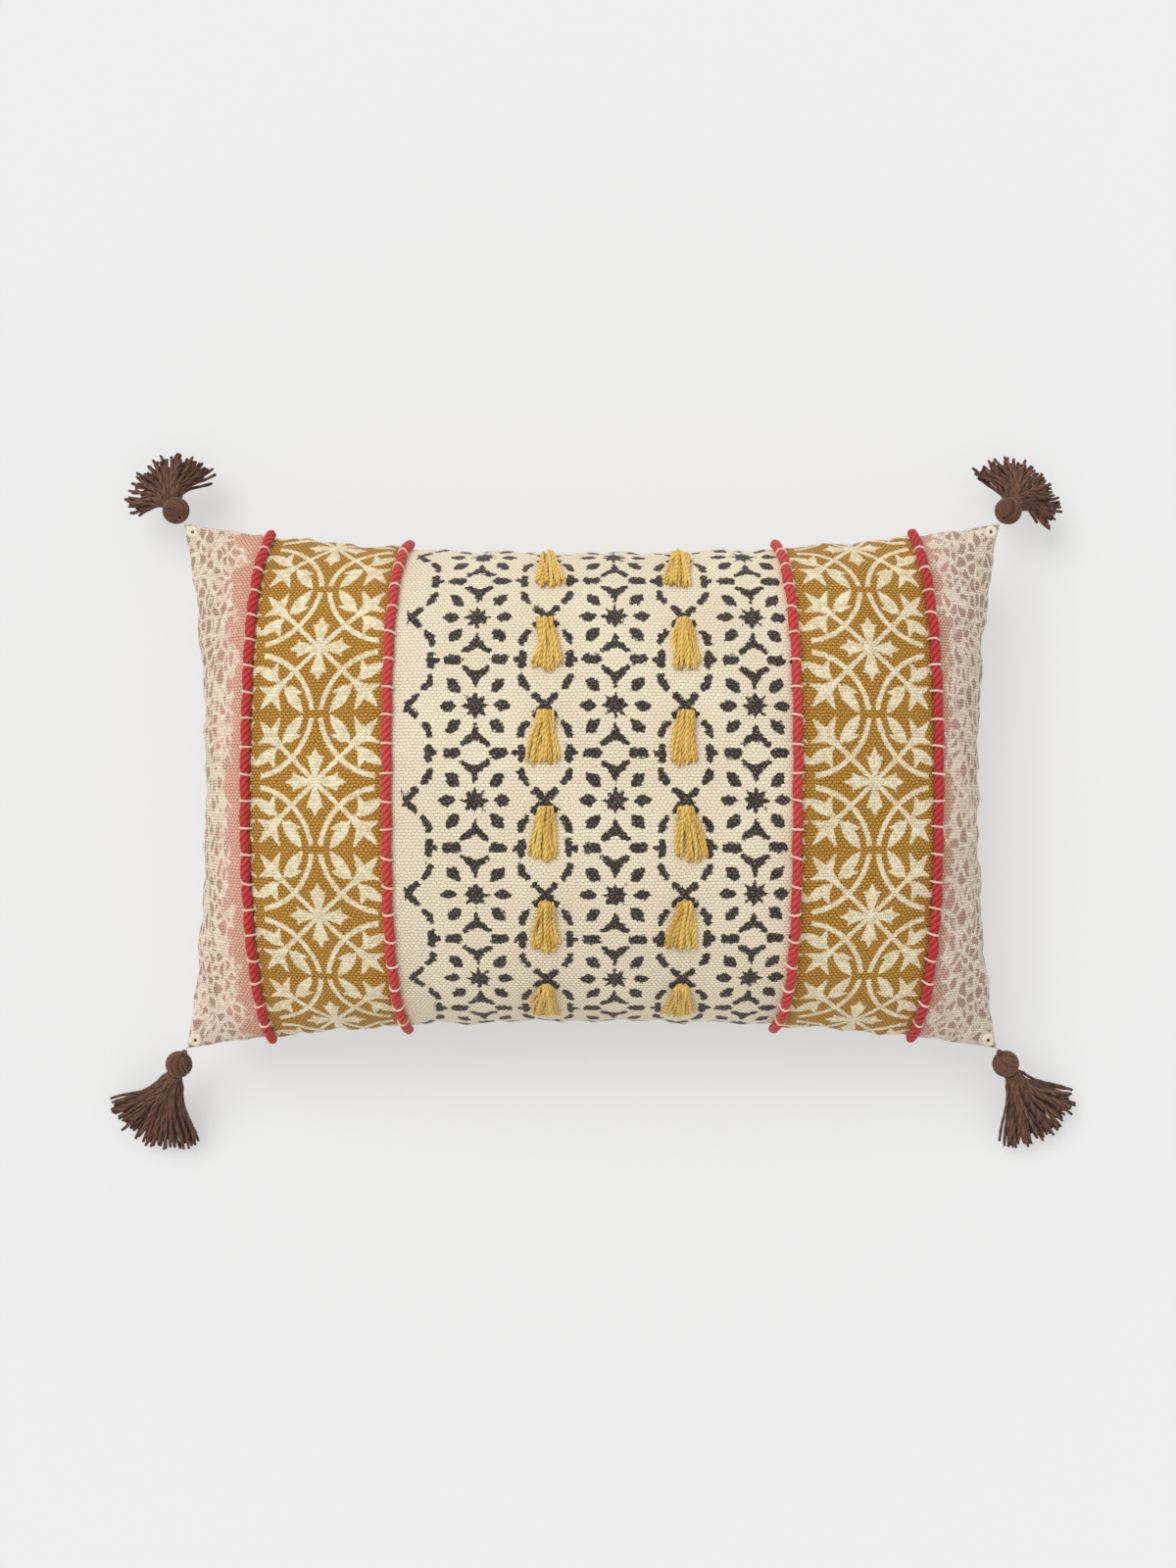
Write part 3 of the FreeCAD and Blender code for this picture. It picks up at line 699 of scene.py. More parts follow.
@dataclass
class Patchwork:
    """Points, quads and closed rings that become one mesh, with values for each point."""

    points: np.ndarray
    quads: np.ndarray
    rings: list[np.ndarray] = field(default_factory=list)
    values: dict[str, np.ndarray] = field(default_factory=dict)
    flat: np.ndarray | None = None

    def piece(self, name: str, material: bpy.types.Material) -> bpy.types.Object:
        """Makes the object, at the origin, with smooth quads and flat ring caps.

        Args:
            name: the object's name.
            material: its finish.

        Returns:
            The object.
        """
        mesh = bpy.data.meshes.new(name)
        loops = np.concatenate([self.quads.ravel(), *[np.asarray(r) for r in self.rings]]).astype(np.int32)
        sizes = np.array([4] * len(self.quads) + [len(r) for r in self.rings], np.int32)
        mesh.vertices.add(len(self.points))
        mesh.vertices.foreach_set("co", np.ascontiguousarray(self.points, np.float32).ravel())
        mesh.loops.add(len(loops))
        mesh.loops.foreach_set("vertex_index", loops)
        mesh.polygons.add(len(sizes))
        mesh.polygons.foreach_set("loop_start", np.concatenate([[0], np.cumsum(sizes)[:-1]]).astype(np.int32))
        smooth = np.arange(len(sizes)) < len(self.quads)
        mesh.polygons.foreach_set("use_smooth", smooth)
        mesh.update(calc_edges=True)
        for key, values in self.values.items():
            kind, slot = ("FLOAT", "value") if values.ndim == 1 else ("FLOAT_VECTOR", "vector")
            mesh.attributes.new(key, kind, "POINT").data.foreach_set(slot, values.astype(np.float32).ravel())
        if self.flat is not None:
            places = self.flat[loops].astype(np.float32).ravel()
            mesh.uv_layers.new(name="cloth").data.foreach_set("uv", places)
        mesh.materials.append(material)
        made = bpy.data.objects.new(name, mesh)
        bpy.context.scene.collection.objects.link(made)
        return made


def grid_quads(rows: int, columns: int, closed: bool = False) -> np.ndarray:
    """Quads over a grid of points, row by row. A closed grid joins its last column to its first.

    Args:
        rows: points one way.
        columns: points the other way.
        closed: whether it wraps round.

    Returns:
        Four point numbers a quad.
    """
    index = np.arange(rows * columns).reshape(rows, columns)
    if closed:
        index = np.concatenate([index, index[:, :1]], axis=1)
    corners = (index[:-1, :-1], index[1:, :-1], index[1:, 1:], index[:-1, 1:])
    return np.stack(corners, axis=-1).reshape(-1, 4)


def outer_points(shape: tuple[int, ...]) -> np.ndarray:
    """Which points of a grid lie on its outer edge.

    Args:
        shape: its rows and columns.

    Returns:
        True on the edge.
    """
    rim = np.ones(shape, bool)
    rim[1:-1, 1:-1] = False
    return rim


def unit(vectors: np.ndarray) -> np.ndarray:
    """The vectors at length 1."""
    return vectors / np.maximum(np.linalg.norm(vectors, axis=-1, keepdims=True), 1e-12)


@dataclass(frozen=True)
class Twist:
    """How a yarn is spun: its plies, the length of one turn, and how deep its grooves are."""

    plies: int = 2
    turn: float = 5.0 * MM
    depth: float = 0.28
    sides: int = 8
    # how much darker each strand's last 3 mm is drawn: painted shade
    dark_end: float = 0.0

    def strands(self, paths: np.ndarray, normals: np.ndarray, radius: Any, seed: int = 1) -> Patchwork:
        """Carries a lobed, turning section along many paths at once. The section's radius is the largest
        less a groove, which is one minus the size of the cosine of half the ply count times the angle.

        Args:
            paths: strands by stations by 3.
            normals: a direction roughly square to each path, in the same shape.
            radius: one for all, or strands by stations.
            seed: for the shade of each strand.

        Returns:
            Closed tubes with their ply, groove and shade values. groove is 1 on the ply crowns and falls in
            the grooves and over each strand's last 3 mm, where the yarn's material paints shade; shade
            differs at random from strand to strand.
        """
        count, stations = paths.shape[:2]
        radius = np.broadcast_to(radius, (count, stations))
        ahead = unit(np.gradient(paths, axis=1))
        side = unit(np.cross(normals, ahead))
        up = np.cross(ahead, side)
        steps = np.linalg.norm(np.diff(paths, axis=1), axis=2)
        length = np.concatenate([np.zeros((count, 1)), np.cumsum(steps, axis=1)], axis=1)
        rng = np.random.default_rng(seed)
        start = rng.uniform(0, 2 * math.pi, (count, 1, 1))
        angle = np.linspace(0, 2 * math.pi, self.sides, endpoint=False)[None, None, :]
        spun = angle - 2 * math.pi * length[..., None] / self.turn + start
        lobes = np.abs(np.cos(spun * self.plies / 2))
        reach = radius[..., None] * (1 - self.depth + self.depth * lobes)
        points = paths[:, :, None] + reach[..., None] * (
            np.cos(angle)[..., None] * side[:, :, None] + np.sin(angle)[..., None] * up[:, :, None])
        size = radius[..., None] / MM
        far = np.broadcast_to(length[..., None] / MM * 0.12, spun.shape)
        ply = np.stack([np.cos(spun) * size, np.sin(spun) * size, far + 40 * start], axis=-1)
        block = grid_quads(stations, self.sides, closed=True)
        offsets = (np.arange(count) * stations * self.sides)[:, None, None]
        ring = np.arange(self.sides)
        last = (stations - 1) * self.sides
        starts = offsets.ravel()
        ends = [o + ring for o in starts] + [(o + last + ring)[::-1] for o in starts]
        shade = np.broadcast_to(rng.uniform(0, 1, (count, 1, 1)), spun.shape)
        from_end = np.clip((length[:, -1:] - length) / (3.0 * MM), 0, 1)[..., None]
        # Lower in the grooves and at the cut ends, where the yarn's material paints shade.
        groove = lobes * (1 - self.dark_end * (1 - from_end))
        values = {"ply": ply.reshape(-1, 3), "groove": groove.ravel(), "shade": shade.ravel()}
        quads = (block[None] + offsets).reshape(-1, 4)[:, ::-1]
        return Patchwork(points.reshape(-1, 3), quads, ends, values)


def box_middle(node: str) -> np.ndarray:
    """The middle of a CAD node's box."""
    low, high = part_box(node)
    return (np.array(low) + np.array(high)) / 2


def joint(name: str) -> dict:
    """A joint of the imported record, by name."""
    return next(j for j in frame["joints"] if j["name"] == name)


def place(piece: bpy.types.Object, body: str, slot: str, *nodes: str) -> bpy.types.Object:
    """Rides a piece on its body and hides the CAD nodes that it stands for.

    Args:
        piece: the object.
        body: the body that it moves with.
        slot: the slot that names its finish. It is not used.
        nodes: CAD nodes that it replaces.

    Returns:
        The same piece.
    """
    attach(piece, body)
    if nodes:
        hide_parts(*nodes)
    LOG.info("%s: %d faces on %s", piece.name, len(piece.data.polygons), body)
    return piece


# ------------------------------------------------------------------ the filled cloth


class Side(Enum):
    """The two faces of the cover."""

    BACK = -1
    FRONT = 1


@dataclass(frozen=True)
class Cut:
    """The flat cut of the cover and the size it fills out to."""

    width: float = 600 * MM
    height: float = 400 * MM
    waist_x: float = 260 * MM  # half the filled width, at its middle
    waist_y: float = 157.5 * MM
    ear_x: float = 17.5 * MM  # how far the corners stand out past the waist
    ear_y: float = 22 * MM
    crown: float = 90 * MM  # front over the seam
    belly: float = 75 * MM  # seam over the floor
    corner_drop: float = 17 * MM
    corner_tip: float = 7 * MM  # less drop at the far corners, more at the near ones
    blunt: float = 0.3 * MM

    def filled(self, s: np.ndarray, t: np.ndarray, side: Side) -> np.ndarray:
        """Where flat points lie on the filled pillow, before the cloth settles. Each half width is drawn in
        by the length that goes down the sides, and the height falls from the crown to an upright edge.

        Args:
            s: place along the cut, from -1 to 1.
            t: place across it, from -1 to 1.
            side: which face.

        Returns:
            Places, with the pillow's own middle at x = y = 0.
        """
        def drawn(part: np.ndarray, other: np.ndarray, flat: float, waist: float) -> np.ndarray:
            """A way along the cut after it is drawn in, most across the middle."""
            spare = flat / waist - 1
            return part * (1 + spare * (1 - other**2) * (1 - np.abs(part) ** (1 / spare)))

        def bulge(part: np.ndarray) -> np.ndarray:
            """A dome from 1 in the middle to 0 at the seam."""
            return np.sqrt(np.clip(1 - np.abs(part) ** 2.3, 0, None))

        x = drawn(s, t, self.width / 2, self.waist_x)
        y = drawn(t, s, self.height / 2, self.waist_y)
        seam = self.belly - (self.corner_drop - self.corner_tip * t) * (x * y) ** 2
        high = self.crown if side is Side.FRONT else self.belly
        z = seam + side.value * high * bulge(x) * bulge(y)
        tip = self.blunt * np.abs(s * t) ** 24
        wide = self.waist_x + self.ear_x * np.abs(y) ** 2.2
        deep = self.waist_y + self.ear_y * np.abs(x) ** 2.2
        return np.stack([x * wide - np.sign(s) * tip, y * deep - np.sign(t) * tip, z], axis=-1)


@dataclass
class Settled:
    """The cover's cloth after it has settled over the filling: two grids, sampled at any flat place."""

    cut: Cut = Cut()
    along: int = 120
    across: int = 80
    most_shift: float = 9 * MM  # from the filled shape
    soft_floor: float = 2.5 * MM  # rounds the belly where it meets the floor
    frames: int = 14
    volume: float = 0.0184  # of the filling, in cubic metres
    pucker_high: float = 2.4 * MM
    zip_out: float = 2.9 * MM  # cloth line over the coils' middle
    zip_reach: float = 158 * MM  # half length that is straight
    zip_fade: float = 72 * MM  # beyond it, along the zip
    zip_band: float = 46 * MM  # to each side of it
    grids: dict[Side, np.ndarray] = field(default_factory=dict)

    def build(self) -> "Settled":
        """Fills, settles, lays the cloth on the floor and draws it straight beside the zip.

        Returns:
            Itself, with both grids filled in.
        """
        ways = [np.linspace(-1, 1, count + 1) for count in (self.along, self.across)]
        s, t = np.meshgrid(*ways, indexing="ij")
        start = {side: self.cut.filled(s, t, side) for side in Side}
        settled = self.simulate(start, s, t)
        middle = box_middle("insert_fill")
        for side in Side:
            shift = settled[side] - start[side]
            size = np.linalg.norm(shift, axis=-1, keepdims=True)
            tip = np.clip((np.abs(s * t) - 0.45) / 0.45, 0, 1)
            kept = np.minimum(1.0, self.most_shift / np.maximum(size, 1e-9)) * (1 - smooth(tip))[..., None]
            grid = start[side] + shift * kept
            self.grids[side] = grid + np.array([middle[0], middle[1], 0.0])
        low = self.grids[Side.BACK][..., 2]
        above = low - low.min() - self.soft_floor
        self.grids[Side.BACK][..., 2] = (above + np.hypot(above, self.soft_floor)) / 2
        rim = outer_points(low.shape)
        self.grids[Side.BACK][rim] = self.grids[Side.FRONT][rim]
        self.ruffle(s, t)
        self.straighten()
        return self

    def simulate(self, start: dict[Side, np.ndarray], s: np.ndarray, t: np.ndarray) -> dict[Side, np.ndarray]:
        """Runs the cloth from the filled shape, with the flat cut as its rest shape and the filling as a held
        volume, so that the spare cloth along the seams puckers.

        Args:
            start: the filled grids.
            s: place along the cut of each grid point.
            t: place across it.

        Returns:
            The settled grids.
        """
        inner = ~outer_points(s.shape).ravel()
        count = s.size
        back_index = np.arange(count)
        back_index[inner] = count + np.arange(inner.sum())
        begin = self.pucker(start, s, t)
        points = np.concatenate([begin[Side.FRONT].reshape(-1, 3), begin[Side.BACK].reshape(-1, 3)[inner]])
        flat = np.stack([s * self.cut.width / 2, t * self.cut.height / 2, np.zeros_like(s)], -1)
        flat = flat.reshape(-1, 3)
        quads = grid_quads(*s.shape)
        faces = np.concatenate([quads, back_index[quads][:, ::-1]])
        mesh = bpy.data.meshes.new("settling")
        mesh.from_pydata(points.tolist(), [], faces.tolist())
        cloth = bpy.data.objects.new("settling", mesh)
        bpy.context.scene.collection.objects.link(cloth)
        cloth.shape_key_add(name="filled")
        rest = cloth.shape_key_add(name="cut")
        rest.data.foreach_set("co", np.concatenate([flat, flat[inner]]).ravel())
        modifier = cloth.modifiers.new("cloth", "CLOTH")
        self.set_cloth(modifier.settings, rest)
        scene = bpy.context.scene
        scene.frame_start, scene.frame_end = 1, self.frames
        modifier.point_cache.frame_end = self.frames
        for number in range(1, self.frames + 1):
            scene.frame_set(number)
        shaped = cloth.evaluated_get(bpy.context.evaluated_depsgraph_get()).data
        places = np.empty(len(points) * 3)
        shaped.vertices.foreach_get("co", places)
        places = places.reshape(-1, 3)
        scene.frame_set(1)
        bpy.data.objects.remove(cloth)
        shape = (*s.shape, 3)
        return {Side.FRONT: places[:count].reshape(shape), Side.BACK: places[back_index].reshape(shape)}

    def set_cloth(self, settings: Any, rest: bpy.types.ShapeKey) -> None:
        """Heavy cotton that hardly stretches, on a filling that keeps its volume.

        Args:
            settings: the cloth modifier's settings.
            rest: the shape key that holds the flat cut.
        """
        settings.quality = 6
        settings.mass = 0.0001
        settings.tension_stiffness = settings.compression_stiffness = 30
        settings.shear_stiffness = 8
        settings.bending_stiffness = 0.02
        settings.tension_damping = settings.compression_damping = settings.shear_damping = 1
        settings.bending_damping = 0.1
        settings.air_damping = 2
        settings.use_pressure = True
        settings.uniform_pressure_force = 0
        settings.use_pressure_volume = True
        settings.target_volume = self.volume
        settings.pressure_factor = 40
        settings.effector_weights.gravity = 0
        settings.rest_shape_key = rest

    def pucker(self, start: dict[Side, np.ndarray], s: np.ndarray, t: np.ndarray) -> dict[Side, np.ndarray]:
        """Small gathers along the seams, which the settling cloth deepens: a sine along each seam that dies
        away from it.

        Args:
            start: the filled grids.
            s: place along the cut of each grid point.
            t: place across it.

        Returns:
            The gathered grids.
        """
        rng = np.random.default_rng(7)
        begun = {}
        for side in Side:
            wave = np.zeros_like(s)
            for way, near, size, half in ((s, t, self.cut.width, self.cut.height / 2),
                                          (t, s, self.cut.height, self.cut.width / 2)):
                flat = way * size / 2
                for end in (-1, 1):
                    pitch, phase = rng.uniform(26, 34) * MM, rng.uniform(0, 6.3)
                    wander = 1.3 * np.sin(flat / (61 * MM) + rng.uniform(0, 6.3))
                    off = (1 - near * end) * half
                    ripple = np.sin(2 * math.pi * flat / pitch + phase + wander)
                    wave += ripple * np.exp(-off / (26 * MM)) * (off > 0)
            begun[side] = start[side] + UP * (side.value * self.pucker_high * wave)[..., None]
        return begun

    def ruffle(self, s: np.ndarray, t: np.ndarray) -> None:
        """Makes the outer seam waver: two sines along each edge push it out and in, dying away from it.

        Args:
            s: place along the cut of each grid point.
            t: place across it.
        """
        rng = np.random.default_rng(5)
        u, v = s * self.cut.width / 2, t * self.cut.height / 2
        for axis, along, off in ((0, v, (1 - np.abs(s)) * self.cut.width / 2),
                                 (1, u, (1 - np.abs(t)) * self.cut.height / 2)):
            for end in (-1, 1):
                here = (s if axis == 0 else t) * end > 0
                wave = 1.2 * np.sin(along / (5.3 * MM) + rng.uniform(0, 6) + 1.5 * np.sin(along / (37 * MM)))
                wave = wave + 0.9 * np.sin(along / (11.5 * MM) + rng.uniform(0, 6))
                shift = end * wave * MM * np.exp(-off / (13 * MM)) * here * (1 - np.abs(s * t) ** 3)
                for side in Side:
                    self.grids[side][..., axis] += shift

    def straighten(self) -> None:
        """Draws the back straight along the zip: the shift that brings the zip's line onto its rail, fading
        out across the cloth and past the zip's ends."""
        rail = (box_middle("zip_upper_coil") + box_middle("zip_lower_coil")) / 2
        outward = unit(box_middle("zip_pull") - box_middle("zip_slider"))
        line = rail + outward * self.zip_out
        grid = self.grids[Side.BACK]
        row = round((ZIP_V + HALF_HIGH) / self.cut.height * self.across)
        u = np.linspace(-1, 1, self.along + 1) * self.cut.width / 2
        v = np.linspace(-1, 1, self.across + 1) * self.cut.height / 2
        part = np.clip((np.abs(u) - self.zip_reach) / self.zip_fade, 0, 1)
        near = (1 - smooth(part))[:, None]
        near = near * np.clip(1 - ((v - v[row]) / self.zip_band) ** 2, 0, 1)[None, :] ** 2
        shift = line[None, :] - grid[:, row]
        shift[:, 0] = 0
        grid += near[..., None] * shift[:, None]

    def at(self, u: np.ndarray, v: np.ndarray, side: Side = Side.FRONT) -> np.ndarray:
        """Places on the cloth at flat u and v: a smooth Catmull-Rom surface through the grid.

        Args:
            u: places along the cut.
            v: places across it.
            side: which face.

        Returns:
            Places in space.
        """
        grid = self.grids[side]
        places = 0.0
        x = np.clip((u / self.cut.width + 0.5) * self.along, 0, self.along)
        y = np.clip((v / self.cut.height + 0.5) * self.across, 0, self.across)
        i, j = np.minimum(x.astype(int), self.along - 1), np.minimum(y.astype(int), self.across - 1)
        weights_x, weights_y = catmull(x - i), catmull(y - j)
        for a in range(4):
            for b in range(4):
                column = np.clip(i + a - 1, 0, self.along)
                row = np.clip(j + b - 1, 0, self.across)
                places = places + grid[column, row] * (weights_x[a] * weights_y[b])[..., None]
        return places

    def axes(self, u: np.ndarray, v: np.ndarray, side: Side = Side.FRONT) -> tuple[np.ndarray, np.ndarray]:
        """The cloth's direction along u and its outward normal.

        Args:
            u: places along the cut.
            v: places across it.
            side: which face.

        Returns:
            Two unit vectors for each place.
        """
        step = 1.5 * MM
        ahead = self.at(u + step, v, side) - self.at(u - step, v, side)
        across = self.at(u, v + step, side) - self.at(u, v - step, side)
        return unit(ahead), unit(np.cross(ahead, across)) * side.value

    def ahead_v(self, u: np.ndarray, v: np.ndarray) -> np.ndarray:
        """The front cloth's direction along v."""
        step = 1.5 * MM
        return unit(self.at(u, v + step) - self.at(u, v - step))

    def find(self, x: float, y: float, lift: float) -> tuple[float, float]:
        """The flat place on the front with x and y straight out from it by lift, by repeated correction.

        Args:
            x: the place to reach.
            y: the place to reach.
            lift: height over the cloth.

        Returns:
            Its u and v.
        """
        u, v = np.array([x]), np.array([y])
        for _ in range(40):
            spot = self.above(u, v, np.array([lift]))
            u, v = u + (x - spot[:, 0]), v + (y - spot[:, 1])
        return float(u[0]), float(v[0])

    def above(self, u: np.ndarray, v: np.ndarray, lift: np.ndarray, side: Side = Side.FRONT) -> np.ndarray:
        """Places at a height over the cloth."""
        return self.at(u, v, side) + self.axes(u, v, side)[1] * np.asarray(lift)[..., None]


def catmull(part: np.ndarray) -> list[np.ndarray]:
    """Catmull-Rom weights of the four neighbours at a place between the middle two.

    Args:
        part: the way between the middle two, from 0 to 1.

    Returns:
        Four weights.
    """
    square, cube = part**2, part**3
    return [(-part + 2 * square - cube) / 2, (2 - 5 * square + 3 * cube) / 2,
            (part + 4 * square - 3 * cube) / 2, (cube - square) / 2]


# ------------------------------------------------------------------ the cover and its filling

CORDS = {"left_outer": -232 * MM, "left_inner": -132 * MM, "right_inner": 132 * MM, "right_outer": 232 * MM}
STITCHES = (np.arange(20) - 9.5) * STITCH_PITCH_MM * MM


@dataclass(frozen=True)
class Panel:
    """One strip of the cover, sewn in along its edges: a thin shell with the puckers that its seams make."""

    node: str
    finish: str
    slot: str
    side: Side
    low: tuple[float, float]
    high: tuple[float, float]
    step: float = 2.2 * MM
    thick: float = 1.0 * MM
    hem: float = 0.15 * MM  # thickness at the outer seam
    gap: float = 0.15 * MM  # to the next panel, at each side
    mouth: float = 2.7 * MM  # from the zip's line to the cloth's edge

    def relief(self, u: np.ndarray, v: np.ndarray) -> np.ndarray:
        """Height of the cloth's own creases: a groove at each seam, gathers along the outer seam, and a
        ripple beside each cord where its stitches pull, each dying away from its seam.

        Args:
            u: places along the cut.
            v: places across it.

        Returns:
            Heights over the settled cloth.
        """
        edge = np.minimum(HALF_WIDE - np.abs(u), HALF_HIGH - np.abs(v))
        around = np.where(HALF_WIDE - np.abs(u) < HALF_HIGH - np.abs(v), v, u)
        wander = np.sin(around / (43 * MM)) * 1.7 + np.sin(around / (17 * MM) + 1.0) * 0.8
        gather = np.sin(2 * math.pi * around / (13.5 * MM) + wander)
        height = -1.0 * MM * np.exp(-((edge / (1.3 * MM)) ** 2))
        height = height + 0.55 * MM * gather * (1 - np.exp(-edge / (3 * MM))) * np.exp(-edge / (11 * MM))
        if self.side is Side.FRONT:
            for place_u in CORDS.values():
                off = np.abs(u - place_u)
                slanted = v - STITCHES[0] - (u - place_u) * 0.15
                ripple = np.cos(2 * math.pi * slanted / (STITCH_PITCH_MM * MM))
                height = height - 0.9 * MM * np.exp(-((off / (3.4 * MM)) ** 2))
                height = height - 0.55 * MM * ripple * np.exp(-off / (9 * MM))
        else:
            off = np.abs(v - ZIP_V) + np.where(np.abs(u) < 150 * MM, 50 * MM, 0)
            height = height - 0.8 * MM * np.exp(-((off / (1.3 * MM)) ** 2))
        return height

    def opened(self, u: np.ndarray, v: np.ndarray) -> np.ndarray:
        """Draws the back's cloth away from the zip's line, so that the coils show between the two edges. It
        fades with the square of the way across the cloth, and at the zip's ends.

        Args:
            u: places along the cut.
            v: places across it.

        Returns:
            The moved v.
        """
        if self.side is Side.FRONT:
            return v
        toward = 1 if self.high[1] > 0 else -1
        off = np.abs(v - ZIP_V)
        length = np.clip((160 * MM - np.abs(u)) / (12 * MM), 0, 1)
        near = np.clip(1 - off / (34 * MM), 0, 1) ** 2
        return v + toward * self.mouth * smooth(length) * near

    def thickness(self, u: np.ndarray, v: np.ndarray) -> np.ndarray:
        """The cloth's thickness, pressed thin towards the outer seam.

        Args:
            u: places along the cut.
            v: places across it.

        Returns:
            Thickness at each place.
        """
        edge = np.minimum(HALF_WIDE - np.abs(u), HALF_HIGH - np.abs(v))
        part = np.clip(edge / (12 * MM), 0, 1)
        return self.hem + (self.thick - self.hem) * smooth(part)

    def build(self, cloth: Settled, insert: bpy.types.Object) -> bpy.types.Object:
        """Args:
            cloth: the settled cloth.
            insert: the filling that it is stretched over. It is not used.

        Returns:
            The panel's object.
        """
        counts = [round((high - low) / self.step) for low, high in zip(self.low, self.high)]
        edges = [np.linspace(low + self.gap, high - self.gap, count + 1)
                 for low, high, count in zip(self.low, self.high, counts)]
        u, v = np.meshgrid(*edges, indexing="ij")
        v = self.opened(u, v)
        height = self.relief(u, v)
        normal = cloth.axes(u, v, self.side)[1]
        outer = cloth.at(u, v, self.side) + normal * height[..., None]
        inner = outer - normal * self.thickness(u, v)[..., None]
        mesh = shell(outer, inner, self.side is Side.BACK)
        mesh.flat = np.tile(np.stack([u, v], -1).reshape(-1, 2), (2, 1))
        made = place(mesh.piece(f"{self.node}_cloth", MATERIALS[self.finish]), "pillow", self.slot, self.node)
        size = (self.high[0] - self.low[0], self.high[1] - self.low[1])
        return made


def shell(outer: np.ndarray, inner: np.ndarray, turned: bool) -> Patchwork:
    """A closed shell between two grids of the same size, the outer one facing out.

    Args:
        outer: rows by columns by 3.
        inner: the same grid on the inside.
        turned: whether the grid runs clockwise seen from outside.

    Returns:
        The patchwork, whose rim faces are flat shaded.
    """
    rows, columns = outer.shape[:2]
    quads = grid_quads(rows, columns)
    index = np.arange(rows * columns).reshape(rows, columns)
    around = np.concatenate([index[:-1, 0], index[-1, :-1], index[:0:-1, -1], index[0, :0:-1]])
    ahead = np.roll(around, -1)
    shift = rows * columns
    rim = np.stack([ahead, around, around + shift, ahead + shift], -1)
    faces = np.concatenate([quads, quads[:, ::-1] + shift])
    if turned:
        faces, rim = faces[:, ::-1], rim[:, ::-1]
    return Patchwork(np.concatenate([outer.reshape(-1, 3), inner.reshape(-1, 3)]), faces, list(rim))


@dataclass(frozen=True)
class Cover:
    """The cover's five front strips and two back panels, and the filled casing inside them."""

    step: float = 3.2 * MM
    under: float = 0.35 * MM  # space between cloth and casing
    zip_room: float = 7.5 * MM  # how far the filling stands back behind the zip
    zip_room_wide: float = 13 * MM
    zip_room_half: float = 172 * MM

    def panels(self) -> list[Panel]:
        """The seven pieces of cloth.

        Returns:
            Five front strips, then two back panels.
        """
        seams = [-HALF_WIDE, *CORDS.values(), HALF_WIDE]
        finishes = {"left_pink": "pink", "left_gold": "gold", "centre": "cream", "right_gold": "gold",
                    "right_pink": "pink"}
        fronts = [Panel(f"{finish}_front_panel", finish, f"{colour}_print_canvas", Side.FRONT,
                        (low, -HALF_HIGH), (high, HALF_HIGH))
                  for (finish, colour), low, high in zip(finishes.items(), seams, seams[1:])]
        backs = [Panel(f"{name}_back_panel", "back", "plain_canvas", Side.BACK, (-HALF_WIDE, low),
                       (HALF_WIDE, high), 3 * MM)
                 for name, low, high in (("lower", -HALF_HIGH, ZIP_V), ("upper", ZIP_V, HALF_HIGH))]
        return fronts + backs

    def build(self, cloth: Settled) -> None:
        """Builds the filling, then the cloth over it.

        Args:
            cloth: the settled cloth.
        """
        insert = self.filling(cloth)
        for panel in self.panels():
            panel.build(cloth, insert)

    def filling(self, cloth: Settled) -> bpy.types.Object:
        """The casing full of polyester: it follows the cover just under its cloth, and clears the zip.

        Args:
            cloth: the settled cloth.

        Returns:
            The insert's object.
        """
        counts = [round(size / self.step) for size in (cloth.cut.width, cloth.cut.height)]
        half = [cloth.cut.width / 2, cloth.cut.height / 2]
        u, v = np.meshgrid(*[np.linspace(-h, h, n + 1) for h, n in zip(half, counts)], indexing="ij")
        middle = (cloth.at(u, v, Side.FRONT) + cloth.at(u, v, Side.BACK)) / 2
        faces = []
        for side in Side:
            strip = Panel("", "", "", side, (0, 0), (0, 0))
            depth = self.under - strip.relief(u, v) + strip.thickness(u, v)
            depth = np.maximum(depth, self.under + strip.thickness(u, v))
            if side is Side.BACK:
                beside = np.exp(-(((v - ZIP_V) / self.zip_room_wide) ** 4)) * (np.abs(u) < self.zip_room_half)
                depth = depth + self.zip_room * beside
            normal = cloth.axes(u, v, side)[1]
            points = cloth.at(u, v, side) - normal * depth[..., None]
            over = middle[..., 2] + side.value * 0.15 * MM
            keep = np.maximum if side is Side.FRONT else np.minimum
            points[..., 2] = keep(points[..., 2], over)
            faces.append(points)
        mesh = shell(faces[1], faces[0], False)
        mesh.flat = np.tile(np.stack([u, v], -1).reshape(-1, 2), (2, 1))
        made = mesh.piece("pillow_insert", MATERIALS["casing"])
        place(made, "pillow", "casing_cotton", "insert_casing_front", "insert_casing_back", "insert_fill")
        return made


